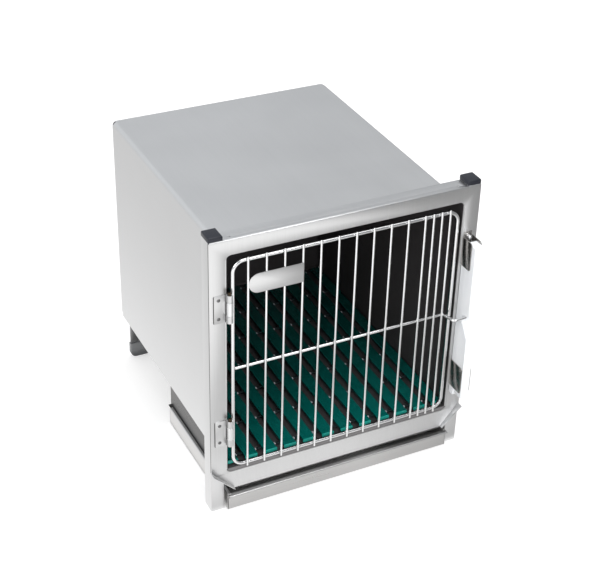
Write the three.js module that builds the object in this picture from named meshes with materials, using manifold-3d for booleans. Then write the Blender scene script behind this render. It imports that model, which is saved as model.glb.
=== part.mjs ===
import * as THREE from 'three';
import { mergeVertices } from 'three/addons/utils/BufferGeometryUtils.js';
import Module from 'manifold-3d';

const wasm = await Module();
wasm.setup();

// A veterinary kennel cage. Millimetres, +Z up. The front plate's plane is y = 0 while the pieces
// are made, the door looks towards -Y, and x = 0 is the middle of the front.

// Clearances shared by many pieces.
const weldFit = 0.02;
const cutFit = 0.3;
const slideFit = 0.5;
const bendSteps = 4;
const roundSides = 16;
const thinSides = 10;

// The standing front frame: two box-section posts behind one pressed plate.
const frameWidth = 600;
const frameHeight = 657;
const postWidth = 30;
const postDepth = 35;
const postWall = 1.5;
const postCornerRadius = 2;
const plateSheet = 1.5;
const plateBendRadius = 3;
const flangeDepth = 32;
const flangeHoleRadius = 2;
const flangeHoleInset = 17.8;
const flangeHoleBack = 9;
const frameHalf = frameWidth / 2;
const postInnerX = frameHalf - postWidth;

// The black caps pressed into the tops of the posts.
const capHeight = 11;
const capEdge = 3;
const capEdgeShare = 0.29;
const capPlugLength = 14;

// The cabinet: a wrapper for both sides and the top, a sloping floor and a dished back. The
// wrapper's front edge is turned outwards, and the floor's is turned down.
const cabinetSideInset = 36;
const cabinetTopDrop = 34;
const cabinetDepth = 635;
const cabinetSheet = 1.2;
const cabinetEdgeRadius = 10;
const dishFlange = 12;
const dishCornerExtra = 2;
const cabinetFlange = 5.5;
const floorFrontHeight = 102.8;
const floorSlopeShare = 0.0125;
const floorLip = 12;
const floorBendRadius = 2;
const cabinetHalf = frameHalf - cabinetSideInset;
const cabinetInnerHalf = cabinetHalf - cabinetSheet;
const cabinetTop = frameHeight - cabinetTopDrop;
const wrapperEndY = cabinetDepth - dishFlange;
const floorUnderside = (y) => floorFrontHeight + floorSlopeShare * y;

// The opening in the plate, as high as the cabinet and a little wider, and the apron under it.
const openingWiden = 2.5;
const openingDrop = 7.8;
const openingCornerRadius = 14;
const openingHalf = cabinetHalf + openingWiden;
const openingTop = cabinetTop;
const openingBottom = floorFrontHeight - openingDrop;
const apronFoldDrop = 3;
const apronFoldHeight = openingBottom - apronFoldDrop;
const apronDrop = 39;
const apronEdgeHeight = openingBottom - apronDrop;
const apronForward = 6.5;
const apronCornerRise = 46;
const apronCornerHeight = apronEdgeHeight + apronCornerRise;
const apronCornerInset = 48;
const dripBack = 5;
const dripDown = 8.5;
const apronBendRadius = 2.5;
const lipReach = 16;

// The rear legs with their moulded shoes.
const legWidth = 60;
const legSideInset = 10;
const legBackInset = 29;
const legFlangeReach = 16;
const legSheet = 2;
const legTongueHeight = 26;
const shoeHeight = 38;
const shoeOverlap = 1;
const shoeFrontCover = 5;
const shoeBackCover = 7;
const shoeCornerRadius = 14;
const legOuterX = cabinetHalf - legSideInset;
const legFrontY = cabinetDepth - legBackInset;

// The tray under the cabinet and the two runners that carry its turned-in rims.
const traySheet = 1.2;
const trayPostGap = 4;
const trayFrontY = -10;
const trayBackY = 320;
const trayBottom = 2;
const trayRimHeight = 43;
const trayRimWidth = 7;
const trayBackDrop = 4;
const trayLipRootDrop = 10;
const trayLipForward = 10.5;
const trayLipNoseDrop = 2.5;
const trayLipCrestRise = 1;
const trayLipCrestBack = 2.5;
const trayLipInnerBack = 17;
const trayLipInnerDrop = 4.5;
const trayBendRadius = 1.5;
const runnerSheet = 1.2;
const runnerWebGap = 2;
const runnerFootGap = 1.3;
const runnerFrontY = 10;
const runnerOverhang = 15;
const runnerChamfer = 10;
const runnerTopFlange = 14;
const rimRest = 0.2;
const trayOuterX = postInnerX - trayPostGap;
const runnerBackY = trayBackY + runnerOverhang;

// The slatted floor that lifts out.
const boardSideGap = 4.8;
const boardFrontY = 10;
const boardBackGap = 5;
const gapsEachSide = 5;
const endSlatShare = 0.708;
const slatGap = 16;
const slatThickness = 7.5;
const slatEdgeRadius = 2.5;
const slatFootHeight = 3.5;
const slatFootLength = 10;
const slatFootWidth = 16;
const slatFootRowStep = 3;
const bridgeRows = 7;
const bridgeFirstY = 28;
const bridgeLastInset = 8;
const bridgeWidth = 5;
const bridgeThickness = 3;
const bridgeDrop = 2.5;
const bridgeRoot = 0.5;
const boardRest = 0.1;
const boardHalf = cabinetInnerHalf - boardSideGap;
const boardBackY = wrapperEndY - boardBackGap;
const slatPitch = boardHalf / (gapsEachSide + endSlatShare);
const bridgePitch = (boardBackY - bridgeFirstY - bridgeLastInset) / (bridgeRows - 1);

// The door: a bent wire frame centred on the plate's plane, upright bars in front of it and one
// crossbar behind the bars.
const doorWireRadius = 4.25;
const doorLeftGap = 16.2;
const doorRightGap = 15.1;
const doorBottomGap = 15;
const doorTopGap = 18.2;
const doorBendRadius = 24;
const doorBendSteps = 6;
const doorJoinOverlap = 0.2;
const doorLeftX = -openingHalf + doorLeftGap;
const doorRightX = openingHalf - doorRightGap;
const doorBottomZ = openingBottom + doorBottomGap;
const doorTopZ = openingTop - doorTopGap;
const doorHeight = doorTopZ - doorBottomZ;
const barRadius = 2.6;
const barLeftInset = 29.6;
const barRightInset = 22.6;
const barLowerOverhang = 5.2;
const barUpperOverhang = 9.2;
const wideBarCount = 11;
const closeBarCount = 3;
const closePitch = 19.5;
const barFirstX = doorLeftX + barLeftInset;
const lastWideX = doorRightX - barRightInset - closeBarCount * closePitch;
const widePitch = (lastWideX - barFirstX) / (wideBarCount - 1);
const barY = -doorWireRadius - barRadius;
const barBottomZ = doorBottomZ - barLowerOverhang;
const barTopZ = doorTopZ + barUpperOverhang;

// The bare plate on the upper bars.
const cardSheet = 1.2;
const cardTopDrop = 30.8;
const cardHeight = 44;
const cardSpanBars = 3;
const cardBottomZ = doorTopZ - cardTopDrop - cardHeight;
const cardRightX = barFirstX + widePitch * cardSpanBars;

// Two hinges: a screwed leaf with two knuckles, a barrel on the door between them and a pin.
const hingeDoorGap = 9.2;
const knuckleRadius = 6.25;
const hingeHeight = 64;
const upperHingeShare = 0.8003;
const lowerHingeShare = 0.187;
const barrelHeight = 30;
const barrelArmThickness = 3;
const leafSheet = 1.5;
const leafWidth = 25.5;
const pinRadius = 3;
const pinHeadRadius = 4;
const pinHeadHeight = 6;
const screwLeafInset = 11;
const screwSpacing = 43;
const screwHeadRadius = 3.8;
const screwHeadHeight = 1.6;
const screwShankRadius = 2;
const screwLength = 6;
const hingeAxisX = doorLeftX - hingeDoorGap;
const hingeAxisY = -plateSheet - knuckleRadius;
const leafRightX = -openingHalf;
const leafLeftX = leafRightX - leafWidth;
const screwX = leafLeftX + screwLeafInset;
const hingeCentres = {
  upper: doorBottomZ + upperHingeShare * doorHeight,
  lower: doorBottomZ + lowerHingeShare * doorHeight,
};

// The latch: a plate that slides up between two channel guides and drops back by its weight.
const guideSheet = 1.6;
const guideEdgeInset = 33.6;
const guideReach = 39;
const lowerGuideExtra = 10;
const guideHeight = 65.5;
const guideCornerRadius = 6;
const upperGuideShare = 0.7397;
const lowerGuideShare = 0.1172;
const slideThickness = 20;
const slideProud = 11;
const slideTopRise = 61;
const slideCornerRadius = 5;
const slideNotchDepth = 15;
const slideNotchDrop = 14;
const latchLift = 13;
const guideOuterX = frameHalf - guideEdgeInset;
const slideLeftX = guideOuterX + guideSheet + slideFit;
const slideRightX = slideLeftX + slideThickness;
const slideMiddleX = (slideLeftX + slideRightX) / 2;
const guideRightX = slideRightX + slideFit + guideSheet;
const slideBackY = -plateSheet - guideSheet - slideFit;
const guideFrontYs = { upper: -guideReach, lower: -guideReach - lowerGuideExtra };
const slideFrontY = guideFrontYs.upper - slideProud;
const middleY = (slideFrontY + cabinetDepth) / 2;

// The crossbar, whose right end is bent forward and out to make the latch's finger.
const crossbarRadius = 3.5;
const crossbarShare = 0.5;
const crossbarBendInset = 14.9;
const fingerForward = 30.3;
const fingerShift = 9.2;
const fingerDrop = 2.6;
const fingerRise = 2.5;
const fingerHold = 6.5;
const fingerBendRadius = 8;
const crossbarZ = doorBottomZ + crossbarShare * doorHeight;
const crossbarY = barY + barRadius + crossbarRadius;
const crossbarBendX = doorRightX - crossbarBendInset;
const fingerY = crossbarY - fingerForward;
const fingerZ = crossbarZ - fingerDrop + fingerRise;
const fingerTipX = slideLeftX + fingerHold;

// The latch plate's mouth round the finger, its two lower tabs, and the pin and screw that stop it.
const mouthBackGap = 1;
const mouthTopGap = 1.5;
const mouthTopFlare = 5.5;
const mouthFloorDrop = 17.2;
const mouthThroatDrop = 17.5;
const mouthThroatForward = 4.5;
const mouthRampDrop = 45.5;
const tabSlitStart = 14.4;
const tabSlitWidth = 7;
const tabSlitRise = 22;
const rearTabDrop = 22;
const frontTabDrop = 12;
const restPinRadius = 3;
const restPinInset = 8;
const restPinTopInset = 5.5;
const restPinHeadRadius = 4.2;
const restPinHeadHeight = 1.5;
const stopHeadRadius = 4.5;
const stopHeadReach = 11;
const stopTabHeight = 10;
const guideBottoms = {
  upper: doorBottomZ + upperGuideShare * doorHeight,
  lower: doorBottomZ + lowerGuideShare * doorHeight,
};
const slideTop = guideBottoms.upper + slideTopRise;
const mouthBackY = fingerY + crossbarRadius + mouthBackGap;
const mouthTopBack = fingerZ + crossbarRadius + mouthTopGap;
const mouthTopFront = mouthTopBack + mouthTopFlare;
const rearTabEndY = slideBackY - tabSlitStart;
const frontTabStartY = rearTabEndY - tabSlitWidth;
const restPinY = guideFrontYs.lower + restPinInset;
const restPinZ = guideBottoms.lower + guideHeight - restPinTopInset;
const stopScrewZ = guideBottoms.upper + guideHeight;

// Turns a closed geometry into a solid that can be joined and cut.
function solidOf(geometry) {
  geometry.deleteAttribute('normal');
  geometry.deleteAttribute('uv');
  const merged = mergeVertices(geometry);
  const vertProperties = merged.attributes.position.array;
  const triVerts = new Uint32Array(merged.index.array);
  return new wasm.Manifold(new wasm.Mesh({ numProp: 3, vertProperties, triVerts }));
}

// Turns a solid back into a geometry with flat shading.
function geometryOf(solid) {
  const mesh = solid.getMesh();
  const geometry = new THREE.BufferGeometry();
  geometry.setAttribute('position', new THREE.BufferAttribute(mesh.vertProperties, 3));
  geometry.setIndex(new THREE.BufferAttribute(mesh.triVerts, 1));
  const flat = geometry.toNonIndexed();
  flat.computeVertexNormals();
  return flat;
}

function point(u, v, w = 0) {
  return new THREE.Vector3(u, v, w);
}

// Rounds the corners of a path; the ends of an open path stay where they are.
function rounded(corners, radius, closed = false, steps = bendSteps) {
  const count = corners.length;
  const path = [];
  corners.forEach((corner, index) => {
    const isEnd = index === 0 || index === count - 1;
    if (isEnd && !closed) {
      path.push(corner.clone());
      return;
    }
    const before = corners[(index + count - 1) % count].clone().sub(corner).normalize();
    const after = corners[(index + 1) % count].clone().sub(corner).normalize();
    const halfAngle = before.angleTo(after) / 2;
    const towards = before.clone().add(after).normalize();
    const centre = towards.multiplyScalar(radius / Math.sin(halfAngle)).add(corner);
    const reach = radius / Math.tan(halfAngle);
    const start = before.multiplyScalar(reach).add(corner).sub(centre);
    const end = after.multiplyScalar(reach).add(corner).sub(centre);
    const turn = start.angleTo(end);
    for (let step = 0; step <= steps; step += 1) {
      const share = step / steps;
      const from = start.clone().multiplyScalar(Math.sin((1 - share) * turn) / Math.sin(turn));
      const to = end.clone().multiplyScalar(Math.sin(share * turn) / Math.sin(turn));
      path.push(centre.clone().add(from).add(to));
    }
  });
  return path;
}

// The outline of a bent sheet: the path and its copy moved to the left by the thickness.
function strip(path, thickness) {
  const leftOf = (from, to) => point(from.y - to.y, to.x - from.x).normalize();
  const inner = path.map((corner, index) => {
    const first = leftOf(path[Math.max(index - 1, 0)], path[Math.max(index, 1)]);
    const lastIndex = path.length - 1;
    const second = leftOf(path[Math.min(index, lastIndex - 1)], path[Math.min(index + 1, lastIndex)]);
    const mitre = first.clone().add(second).divideScalar(1 + first.dot(second));
    return corner.clone().add(mitre.multiplyScalar(thickness));
  });
  return [...path, ...inner.reverse()];
}

function circle(u, v, radius, sides = roundSides) {
  const corners = [];
  for (let side = 0; side < sides; side += 1) {
    const angle = (side / sides) * 2 * Math.PI;
    corners.push(point(u + radius * Math.cos(angle), v + radius * Math.sin(angle)));
  }
  return corners;
}

function rectangle(u0, u1, v0, v1) {
  return [point(u0, v0), point(u1, v0), point(u1, v1), point(u0, v1)];
}

function shapeOf(outline, holes = []) {
  const flatten = (path) => path.map((corner) => new THREE.Vector2(corner.x, corner.y));
  const shape = new THREE.Shape(flatten(outline));
  holes.forEach((hole) => shape.holes.push(new THREE.Path(flatten(hole))));
  return shape;
}

// Stands an extrusion along an axis: outlines are (y, z) for x, (x, z) for y and (x, y) for z.
function standAlong(geometry, axis, from, to) {
  const xWay = point(1, 0, 0);
  const yWay = point(0, 1, 0);
  const zWay = point(0, 0, 1);
  const turn = new THREE.Matrix4();
  if (axis === 'x') {
    turn.makeBasis(yWay, zWay, xWay).setPosition(from, 0, 0);
  } else if (axis === 'y') {
    turn.makeBasis(xWay, zWay, yWay.negate()).setPosition(0, to, 0);
  } else {
    turn.makeTranslation(0, 0, from);
  }
  return geometry.applyMatrix4(turn);
}

function prism(axis, outline, from, to, holes = []) {
  const settings = { depth: to - from, bevelEnabled: false };
  const geometry = new THREE.ExtrudeGeometry(shapeOf(outline, holes), settings);
  return solidOf(standAlong(geometry, axis, from, to));
}

function block(x0, x1, y0, y1, z0, z1) {
  return prism('z', rectangle(x0, x1, y0, y1), z0, z1);
}

// A wire's path that bends only at its own points.
class WirePath extends THREE.Curve {
  constructor(points) {
    super();
    this.points = points;
  }

  getPoint(share) {
    const along = share * (this.points.length - 1);
    const index = Math.min(Math.floor(along), this.points.length - 2);
    return this.points[index].clone().lerp(this.points[index + 1], along - index);
  }

  getPointAt(share) {
    return this.getPoint(share);
  }

  getTangentAt(share) {
    return this.getTangent(share);
  }
}

function wire(points, radius, sides = roundSides) {
  const settings = { steps: points.length - 1, extrudePath: new WirePath(points), bevelEnabled: false };
  return solidOf(new THREE.ExtrudeGeometry(shapeOf(circle(0, 0, radius, sides)), settings));
}

function steel(tone, roughness) {
  const color = new THREE.Color().setScalar(tone);
  return () => new THREE.MeshStandardMaterial({ color, roughness, metalness: 1 });
}

function plastic(color, roughness) {
  return () => new THREE.MeshStandardMaterial({ color, roughness, metalness: 0 });
}

const brushedSteel = steel(0.62, 0.38);
const polishedSteel = steel(0.55, 0.12);
const wireSteel = steel(0.7, 0.22);
const blackPlastic = plastic(0x34363c, 0.5);
const greyPlastic = plastic(0x8a8c8e, 0.55);
const whitePlastic = plastic(0xeef0f2, 0.45);
const greenPlastic = plastic(0x0a6655, 0.4);

const cage = new THREE.Group();
cage.name = 'kennel_cage';

function addPiece(name, solid, material) {
  const geometry = geometryOf(solid);
  geometry.translate(0, -middleY, 0);
  const mesh = new THREE.Mesh(geometry, material());
  mesh.name = name;
  cage.add(mesh);
}

// Adds a piece on the left and its mirror image on the right.
function addPair(name, solid, material) {
  addPiece(`${name}_left`, solid, material);
  addPiece(`${name}_right`, solid.mirror([1, 0, 0]), material);
}

function screwHeights() {
  const heights = [];
  Object.entries(hingeCentres).forEach(([place, centre]) => {
    heights.push([`${place}_top`, centre + screwSpacing / 2]);
    heights.push([`${place}_bottom`, centre - screwSpacing / 2]);
  });
  return heights;
}

// The holes that the hinge screws pass through.
function screwHoles() {
  const radius = screwShankRadius + cutFit;
  const holes = screwHeights().map(([, height]) => (
    prism('y', circle(screwX, height, radius, thinSides), -frameHalf, postDepth / 2)
  ));
  return holes.reduce((all, hole) => all.add(hole));
}

// The plate's silhouette: square at the top, with both lower corners cut off at a slant.
function plateSilhouette() {
  const cornerX = frameHalf - apronCornerInset;
  const under = apronEdgeHeight - dripDown - dripBack;
  const side = [
    point(cornerX, under),
    point(cornerX, apronEdgeHeight),
    point(frameHalf, apronCornerHeight),
    point(frameHalf, frameHeight),
  ];
  const otherSide = side.map((corner) => point(-corner.x, corner.y)).reverse();
  return prism('y', [...side, ...otherSide], -frameHalf, frameHalf);
}

// One slanted side lip of the apron, standing forward along the plate's cut corner.
function apronLip() {
  const top = point(-frameHalf, apronCornerHeight);
  const bottom = point(apronCornerInset - frameHalf, apronEdgeHeight);
  return prism('y', strip([bottom, top].reverse(), plateSheet), -lipReach, 0);
}

function frontPlate() {
  const opening = rounded(
    rectangle(-openingHalf, openingHalf, openingBottom, openingTop),
    openingCornerRadius,
    true,
  );
  const faceTop = frameHeight - plateBendRadius - plateSheet;
  const face = rectangle(-frameHalf, frameHalf, apronFoldHeight, faceTop);
  const ring = prism('y', face, -plateSheet, 0, [opening]);
  const apronPath = rounded([
    point(-plateSheet, apronFoldHeight),
    point(-plateSheet - apronForward, apronEdgeHeight),
    point(-plateSheet - apronForward + dripBack, apronEdgeHeight - dripDown),
  ], apronBendRadius);
  const apron = prism('x', strip(apronPath, plateSheet), -frameHalf, frameHalf);
  const foldPath = rounded([
    point(flangeDepth, frameHeight),
    point(-plateSheet, frameHeight),
    point(-plateSheet, faceTop - plateBendRadius),
  ], plateBendRadius);
  const fold = prism('x', strip(foldPath, plateSheet), -frameHalf, frameHalf);
  const postRoom = block(-frameHalf, -postInnerX, 0, postDepth, faceTop, frameHeight + capHeight);
  const flangeHole = prism(
    'z',
    circle(-postInnerX + flangeHoleInset, flangeHoleBack, flangeHoleRadius, thinSides),
    faceTop,
    frameHeight + capHeight,
  );
  const lip = apronLip();
  return ring.add(apron).intersect(plateSilhouette())
    .add(fold)
    .subtract(postRoom)
    .subtract(postRoom.mirror([1, 0, 0]))
    .subtract(flangeHole)
    .subtract(flangeHole.mirror([1, 0, 0]))
    .add(lip)
    .add(lip.mirror([1, 0, 0]))
    .subtract(screwHoles());
}

function post() {
  const outer = rounded(rectangle(-frameHalf, -postInnerX, 0, postDepth), postCornerRadius, true);
  const inner = rectangle(
    -frameHalf + postWall,
    -postInnerX - postWall,
    postWall,
    postDepth - postWall,
  );
  return prism('z', outer, 0, frameHeight, [inner]);
}

// A cap with a softened upper edge on a plug that fits inside the post.
function postCap() {
  const slab = (inset, from, to) => block(
    -frameHalf + inset,
    -postInnerX - inset,
    inset,
    postDepth - inset,
    from,
    to,
  );
  const headTop = frameHeight + capHeight;
  const softened = capEdge * capEdgeShare;
  const head = wasm.Manifold.hull([
    slab(0, frameHeight, headTop - capEdge),
    slab(softened, frameHeight, headTop - softened),
    slab(capEdge, frameHeight, headTop),
  ]);
  return head.add(slab(postWall + cutFit, frameHeight - capPlugLength, frameHeight));
}

// Everything below the sloping floor, for cutting the walls to it.
function underFloor() {
  const outline = [
    point(-cabinetDepth, 0),
    point(2 * cabinetDepth, 0),
    point(2 * cabinetDepth, floorUnderside(2 * cabinetDepth)),
    point(-cabinetDepth, floorUnderside(-cabinetDepth)),
  ];
  return prism('x', outline, -frameHalf, frameHalf);
}

function cabinetWrapper() {
  const path = rounded([
    point(cabinetHalf, 0),
    point(cabinetHalf, cabinetTop),
    point(-cabinetHalf, cabinetTop),
    point(-cabinetHalf, 0),
  ], cabinetEdgeRadius);
  const flangePath = rounded([
    point(cabinetHalf + cabinetFlange, 0),
    point(cabinetHalf + cabinetFlange, cabinetTop + cabinetFlange),
    point(-cabinetHalf - cabinetFlange, cabinetTop + cabinetFlange),
    point(-cabinetHalf - cabinetFlange, 0),
  ], cabinetEdgeRadius + cabinetFlange);
  const flange = prism('y', strip(flangePath, cabinetFlange + cabinetSheet / 2), 0, cabinetSheet);
  return prism('y', strip(path, cabinetSheet), 0, wrapperEndY).add(flange).subtract(underFloor());
}

function slopedSheet(x0, x1, y0, y1, drop, thickness) {
  const outline = [
    point(y0, floorUnderside(y0) - drop),
    point(y1, floorUnderside(y1) - drop),
    point(y1, floorUnderside(y1) - drop + thickness),
    point(y0, floorUnderside(y0) - drop + thickness),
  ];
  return prism('x', outline, x0, x1);
}

// The floor's upper side is followed from the back to the front and down the lip.
function cabinetFloor() {
  const half = cabinetInnerHalf - weldFit;
  const path = rounded([
    point(wrapperEndY - weldFit, floorUnderside(wrapperEndY) + cabinetSheet),
    point(0, floorFrontHeight + cabinetSheet),
    point(0, floorFrontHeight - floorLip),
  ], floorBendRadius);
  return prism('x', strip(path, cabinetSheet), -half, half);
}

// A block with rounded edges whose back face lies at the given depth.
function softBlock(inset) {
  const radius = cabinetEdgeRadius - inset;
  const half = cabinetHalf - inset;
  const bottom = floorUnderside(wrapperEndY) + inset;
  const corners = rectangle(-half, half, bottom, cabinetTop - inset);
  const outline = rounded(corners, radius + dishCornerExtra, true);
  const settings = {
    depth: dishFlange,
    bevelThickness: radius,
    bevelSize: radius,
    bevelOffset: -radius,
    bevelSegments: bendSteps,
  };
  const geometry = new THREE.ExtrudeGeometry(shapeOf(outline), settings);
  const back = cabinetDepth - inset - radius;
  return solidOf(standAlong(geometry, 'y', back - dishFlange, back));
}

function cabinetBack() {
  const front = block(-frameHalf, frameHalf, 0, wrapperEndY, 0, frameHeight);
  return softBlock(0).subtract(softBlock(cabinetSheet)).subtract(front);
}

function rearLeg() {
  const path = [
    point(legFrontY + legFlangeReach, floorUnderside(legFrontY + legFlangeReach) - weldFit),
    point(legFrontY, floorUnderside(legFrontY) - weldFit),
    point(legFrontY, legTongueHeight),
  ];
  return prism('x', strip(path, legSheet), -legOuterX, -legOuterX + legWidth);
}

function rearShoe() {
  const corners = rectangle(
    -legOuterX - shoeOverlap,
    -legOuterX + legWidth + shoeOverlap,
    0,
    shoeHeight,
  );
  const outline = [
    ...rounded(corners, shoeCornerRadius, true).slice(0, 2 * (bendSteps + 1)),
    corners[2],
    corners[3],
  ];
  const shoe = prism('y', outline, legFrontY - shoeFrontCover, legFrontY + shoeBackCover);
  const pocket = block(
    -legOuterX - cutFit,
    -legOuterX + legWidth + cutFit,
    legFrontY - cutFit,
    legFrontY + legSheet + cutFit,
    legTongueHeight,
    frameHeight,
  );
  return shoe.subtract(pocket);
}

function trayPan() {
  const noseY = trayFrontY - trayLipForward;
  const crestY = noseY + trayLipCrestBack;
  const lip = [
    point(noseY + trayLipInnerBack, trayRimHeight - trayLipInnerDrop),
    point(crestY, trayRimHeight + trayLipCrestRise),
    point(noseY, trayRimHeight - trayLipNoseDrop),
    point(trayFrontY, trayRimHeight - trayLipRootDrop),
  ];
  const path = rounded([
    ...lip,
    point(trayFrontY, trayBottom),
    point(trayBackY, trayBottom),
    point(trayBackY, trayRimHeight - trayBackDrop),
  ], trayBendRadius);
  const pan = prism('x', strip(path, traySheet), -trayOuterX, trayOuterX);
  const cheek = [
    point(trayFrontY, trayBottom),
    point(trayBackY, trayBottom),
    point(trayBackY, trayRimHeight),
    point(crestY + trayLipCrestBack, trayRimHeight),
    ...lip.slice(2),
  ];
  const side = prism('x', cheek, -trayOuterX, -trayOuterX + traySheet);
  const rim = block(
    -trayOuterX,
    -trayOuterX + trayRimWidth,
    noseY + trayLipInnerBack,
    trayBackY,
    trayRimHeight - traySheet,
    trayRimHeight,
  );
  const sideWithRim = side.add(rim);
  return pan.add(sideWithRim).add(sideWithRim.mirror([1, 0, 0]));
}

function trayRunner() {
  const webX = -trayOuterX + trayRimWidth + runnerWebGap;
  const footTop = trayRimHeight - traySheet - rimRest;
  const chamferY = runnerBackY - runnerChamfer;
  const web = prism('x', [
    point(runnerFrontY, footTop - runnerSheet),
    point(runnerBackY, footTop - runnerSheet),
    point(runnerBackY, floorUnderside(runnerBackY) - runnerChamfer),
    point(chamferY, floorUnderside(chamferY) - weldFit),
    point(runnerFrontY, floorUnderside(runnerFrontY) - weldFit),
  ], webX, webX + runnerSheet);
  const foot = block(
    -trayOuterX + traySheet + runnerFootGap,
    webX + runnerSheet,
    runnerFrontY,
    runnerBackY,
    footTop - runnerSheet,
    footTop,
  );
  const flange = slopedSheet(
    webX,
    webX + runnerTopFlange,
    runnerFrontY,
    chamferY,
    runnerSheet + weldFit,
    runnerSheet,
  );
  return web.add(foot).add(flange);
}

// The slatted floor lies on the sloping sheet, so it is made level and then tilted.
function slattedFloor() {
  const slatBottom = slatFootHeight;
  const slatTop = slatBottom + slatThickness;
  let board = null;
  const join = (solid) => {
    board = board === null ? solid : board.add(solid);
  };
  for (let gap = -gapsEachSide - 1; gap <= gapsEachSide; gap += 1) {
    const left = Math.max(gap * slatPitch + slatGap / 2, -boardHalf);
    const right = Math.min((gap + 1) * slatPitch - slatGap / 2, boardHalf);
    const outline = rounded(rectangle(left, right, slatBottom, slatTop), slatEdgeRadius, true);
    join(prism('y', outline, boardFrontY, boardBackY));
    const middle = (left + right) / 2;
    for (let row = 0; row < bridgeRows; row += 1) {
      const y = bridgeFirstY + row * bridgePitch;
      if (gap < gapsEachSide) {
        join(block(
          right - bridgeRoot,
          right + slatGap + bridgeRoot,
          y - bridgeWidth / 2,
          y + bridgeWidth / 2,
          slatTop - bridgeDrop - bridgeThickness,
          slatTop - bridgeDrop,
        ));
      }
      if (row % slatFootRowStep === 0) {
        join(block(
          middle - slatFootWidth / 2,
          middle + slatFootWidth / 2,
          y - slatFootLength / 2,
          y + slatFootLength / 2,
          boardRest,
          slatBottom + bridgeRoot,
        ));
      }
    }
  }
  const tilt = THREE.MathUtils.radToDeg(Math.atan(floorSlopeShare));
  return board.rotate([tilt, 0, 0]).translate([0, 0, floorFrontHeight + cabinetSheet]);
}

function doorFrame() {
  const middle = (doorLeftX + doorRightX) / 2;
  const half = (sideX, overlap) => {
    const corners = [
      point(middle + overlap, 0, doorTopZ),
      point(sideX, 0, doorTopZ),
      point(sideX, 0, doorBottomZ),
      point(middle + overlap, 0, doorBottomZ),
    ];
    return wire(rounded(corners, doorBendRadius, false, doorBendSteps), doorWireRadius);
  };
  return half(doorLeftX, doorJoinOverlap).add(half(doorRightX, 0));
}

function barPlaces() {
  const places = [];
  for (let index = 0; index < wideBarCount; index += 1) {
    places.push(barFirstX + index * widePitch);
  }
  for (let index = 1; index <= closeBarCount; index += 1) {
    places.push(lastWideX + index * closePitch);
  }
  return places;
}

function crossbar() {
  const path = rounded([
    point(doorLeftX + doorWireRadius, crossbarY, crossbarZ),
    point(crossbarBendX, crossbarY, crossbarZ),
    point(crossbarBendX + fingerShift, fingerY, crossbarZ - fingerDrop),
    point(fingerTipX, fingerY, fingerZ),
  ], fingerBendRadius);
  return wire(path, crossbarRadius);
}

function card() {
  const backY = barY - barRadius;
  const endRadius = cardHeight / 2;
  const endX = barFirstX + endRadius;
  const middleZ = cardBottomZ + endRadius;
  const end = prism('y', circle(endX, middleZ, endRadius, 2 * roundSides), backY - cardSheet, backY);
  const rest = block(endX, cardRightX, backY - cardSheet, backY, cardBottomZ, cardBottomZ + cardHeight);
  return end.add(rest);
}

function hingeLeaf(centre) {
  const bottom = centre - hingeHeight / 2;
  const top = centre + hingeHeight / 2;
  const front = -plateSheet - leafSheet;
  const leaf = block(leafLeftX, leafRightX, front, -plateSheet, bottom, top);
  const neck = block(leafRightX, hingeAxisX, front, -plateSheet, bottom, top);
  const ring = prism('z', circle(hingeAxisX, hingeAxisY, knuckleRadius), bottom, top);
  const bore = circle(hingeAxisX, hingeAxisY, pinRadius + cutFit);
  const barrelRoom = block(
    leafRightX,
    0,
    hingeAxisY - 2 * knuckleRadius,
    0,
    centre - barrelHeight / 2 - cutFit,
    centre + barrelHeight / 2 + cutFit,
  );
  return leaf.add(neck.add(ring).subtract(barrelRoom))
    .subtract(prism('z', bore, bottom - pinHeadHeight, top + pinHeadHeight))
    .subtract(screwHoles());
}

// The barrel's arm runs along its back to the door's wire and is hollowed to sit against it.
function hingeBarrel(centre) {
  const bottom = centre - barrelHeight / 2;
  const top = centre + barrelHeight / 2;
  const ring = prism('z', circle(hingeAxisX, hingeAxisY, knuckleRadius), bottom, top);
  const armBackY = hingeAxisY + knuckleRadius;
  const arm = block(hingeAxisX, doorLeftX, armBackY - barrelArmThickness, armBackY, bottom, top);
  const wireRoom = circle(doorLeftX, 0, doorWireRadius + weldFit);
  const bore = circle(hingeAxisX, hingeAxisY, pinRadius + cutFit);
  return ring.add(arm)
    .subtract(prism('z', wireRoom, bottom - pinHeadHeight, top + pinHeadHeight))
    .subtract(prism('z', bore, bottom - pinHeadHeight, top + pinHeadHeight));
}

function hingePin(centre) {
  const bottom = centre - hingeHeight / 2;
  const top = centre + hingeHeight / 2;
  const shank = prism('z', circle(hingeAxisX, hingeAxisY, pinRadius), bottom, top + pinHeadHeight);
  const headOutline = circle(hingeAxisX, hingeAxisY, pinHeadRadius);
  return shank.add(prism('z', headOutline, top, top + pinHeadHeight));
}

function hingeScrew(height) {
  const seat = -plateSheet - leafSheet;
  const head = prism('y', circle(screwX, height, screwHeadRadius), seat - screwHeadHeight, seat);
  const shankOutline = circle(screwX, height, screwShankRadius, thinSides);
  return head.add(prism('y', shankOutline, seat, seat + screwLength));
}

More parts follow.
